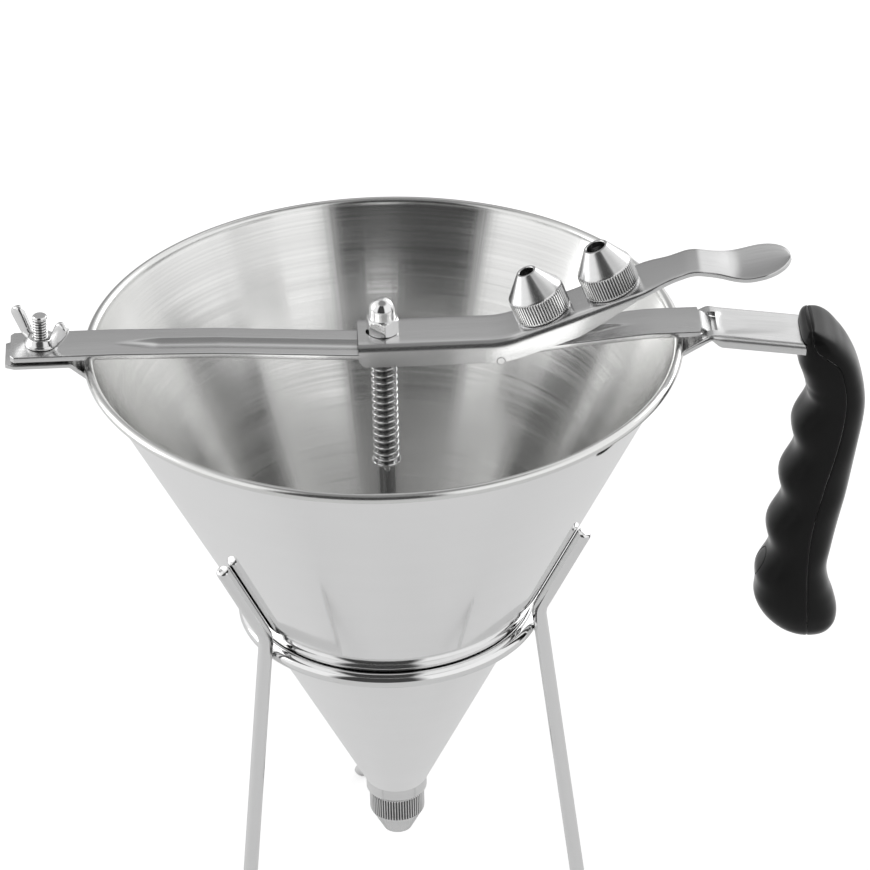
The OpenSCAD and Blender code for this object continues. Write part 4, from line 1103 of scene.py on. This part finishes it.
hole = [(0, -1), (PLUG_R + 0.25, -1), (PLUG_R + 0.25, 1), (0, 1)]
hole = lying(hole, 0, 0, 48)[..., [1, 0, 2]] * (8, 1, 1)
plug_cuts = [skin(hole + (grip_front(drop + 3.4) - 4.0, 0, RIM_Z - drop)) for drop in PLUGS.values()]
shells = [
    piece(
        "grip_finger_shell", [skin(grip_shell(-1))], "funnel", ["grip_inner_shell"], nylon,
        sharp=40, cuts=[skin(pocket)] + plug_cuts,
    ),
    piece(
        "grip_back_shell", [skin(grip_shell(1))], "funnel", ["grip_outer_shell"], nylon,
        sharp=40,
    ),
]
# The seam's faces get a black with almost no reflection, as painted shade in the seam's groove.
seam_shade_look = {"Base Color": (0.002, 0.002, 0.002, 1), "Specular IOR Level": 0.05}
painted_seam_shade = new_material("seam_painted_shade", seam_shade_look)[0]
for shell in shells:
    recolour_faces(shell, painted_seam_shade, lambda x, y, z: abs(x + AXIS_X - seam_x(z)) < 0.3)
for place, drop in PLUGS.items():
    piece(
        f"screw_plug_{place}_cap", [skin(plug_face(drop, PLUG_R, -0.05))], "funnel", [f"screw_plug_{place}"],
        nylon, sharp=60,
    )
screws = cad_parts["grip_screws"]
screws.data.materials.clear()
screws.data.materials.append(polished_steel)

# ---- Table, light and camera ---------------------------------------------------------
# A pale table under a white studio tent. The tent is open behind the camera, and darker
# at the far side, which is what the steel shows.

floor_mesh = bpy.data.meshes.new("table")
floor_mesh.from_pydata([(-4, -4, 0), (4, -4, 0), (4, 4, 0), (-4, 4, 0)], [], [(0, 1, 2, 3)])
floor = new_object("table", floor_mesh)
pale_look = {
    "Base Color": (0.86, 0.86, 0.86, 1), "Roughness": 0.6, "Specular IOR Level": 0.2,
    "Emission Color": (1, 1, 1, 1),
}
pale, tree, shader = new_material("pale_table", pale_look)
seen = add_node(tree, "LightPath").outputs["Is Camera Ray"]
feed(shader, {"Emission Strength": maths(tree, "MULTIPLY", seen, 0.42)})
floor_mesh.materials.append(pale)

world = bpy.data.worlds.new("studio")
bpy.context.scene.world = world
world.use_nodes = True
sky = world.node_tree


def node_maths(kind, *values):
    """One Math node of the world's tree."""
    return maths(sky, kind, *values)


def step_between(value, low, high):
    """A smooth step of a socket's value, from 0 at low to 1 at high."""
    ends = {"Value": value, "From Min": low, "From Max": high}
    return add_node(sky, "MapRange", ends, interpolation_type="SMOOTHSTEP").outputs["Result"]


way = add_node(sky, "TexCoord").outputs["Generated"]
wx, wy, wz = add_node(sky, "SeparateXYZ", {0: way}).outputs
level = node_maths("SQRT", node_maths("ADD", node_maths("MULTIPLY", wx, wx), node_maths("MULTIPLY", wy, wy)))


def sector(azimuth, inner, outer):
    """1 within inner degrees of an azimuth and 0 beyond outer degrees, from the dot product of level
    directions."""
    c, s = float(np.cos(np.radians(azimuth))), float(np.sin(np.radians(azimuth)))
    dot = node_maths("ADD", node_maths("MULTIPLY", wx, c), node_maths("MULTIPLY", wy, s))
    dot = node_maths("DIVIDE", dot, level)
    return step_between(dot, float(np.cos(np.radians(outer))), float(np.cos(np.radians(inner))))


below_top = node_maths("SUBTRACT", 1.0, step_between(wz, 0.85, 0.99))
opening = node_maths("MULTIPLY", sector(-102, 25, 38), below_top)
far_side = node_maths("MAXIMUM", sector(103, 18, 27), step_between(wz, 0.75, 0.95))
fall = node_maths("SUBTRACT", 0.68, node_maths("MULTIPLY", step_between(wz, 0.36, 0.68), 0.3))
fall = node_maths("ADD", fall, node_maths("MULTIPLY", step_between(wz, 0.8, 0.93), 0.35))
dark = node_maths("MAXIMUM", node_maths("MULTIPLY", opening, 0.94), node_maths("MULTIPLY", far_side, fall))
shown = node_maths("SUBTRACT", 1.0, dark)
path = add_node(sky, "LightPath").outputs
mirrored = node_maths("MAXIMUM", path["Is Glossy Ray"], path["Is Transmission Ray"])
tent = 0.67
plain = node_maths("MULTIPLY", node_maths("SUBTRACT", 1.0, mirrored), tent)
lit = node_maths("ADD", node_maths("MULTIPLY", mirrored, shown), plain)
unseen = node_maths("SUBTRACT", 1.0, path["Is Camera Ray"])
strength = node_maths("ADD", path["Is Camera Ray"], node_maths("MULTIPLY", unseen, lit))
feed(sky.nodes["Background"], {"Strength": strength, "Color": (1, 1, 1, 1)})


def softbox(name, place, aim, size, power):
    """A square area lamp at a place, turned to a point."""
    lamp = bpy.data.lights.new(name, "AREA")
    lamp.shape, lamp.size, lamp.energy = "SQUARE", size, power
    obj = new_object(name, lamp)
    obj.location = place
    obj.rotation_euler = (Vector(aim) - Vector(place)).to_track_quat("-Z", "Y").to_euler()
    obj.visible_camera = False


softbox("left_light", (-1.3, 0.35, 0.6), (0, 0, 0.15), 0.9, 3.6)
softbox("right_light", (0.95, 0.95, 0.8), (0, 0, 0.15), 0.8, 3.3)

eye = bpy.data.cameras.new("camera")
eye.sensor_width, eye.lens = 36.0, 245.17
eye.clip_start, eye.clip_end = 0.05, 50.0
camera = bpy.data.objects.new("camera", eye)
bpy.context.scene.collection.objects.link(camera)
turn_z, tilt, roll = np.radians(-1.5), np.radians(90 - 31.02), np.radians(-1.46)
camera.matrix_world = (
    Matrix.Translation((-0.04594, -1.70571, 1.22283))
    @ Matrix.Rotation(turn_z, 4, "Z") @ Matrix.Rotation(tilt, 4, "X") @ Matrix.Rotation(roll, 4, "Z")
)
bpy.context.scene.camera = camera
bpy.context.scene.view_settings.view_transform = "Standard"
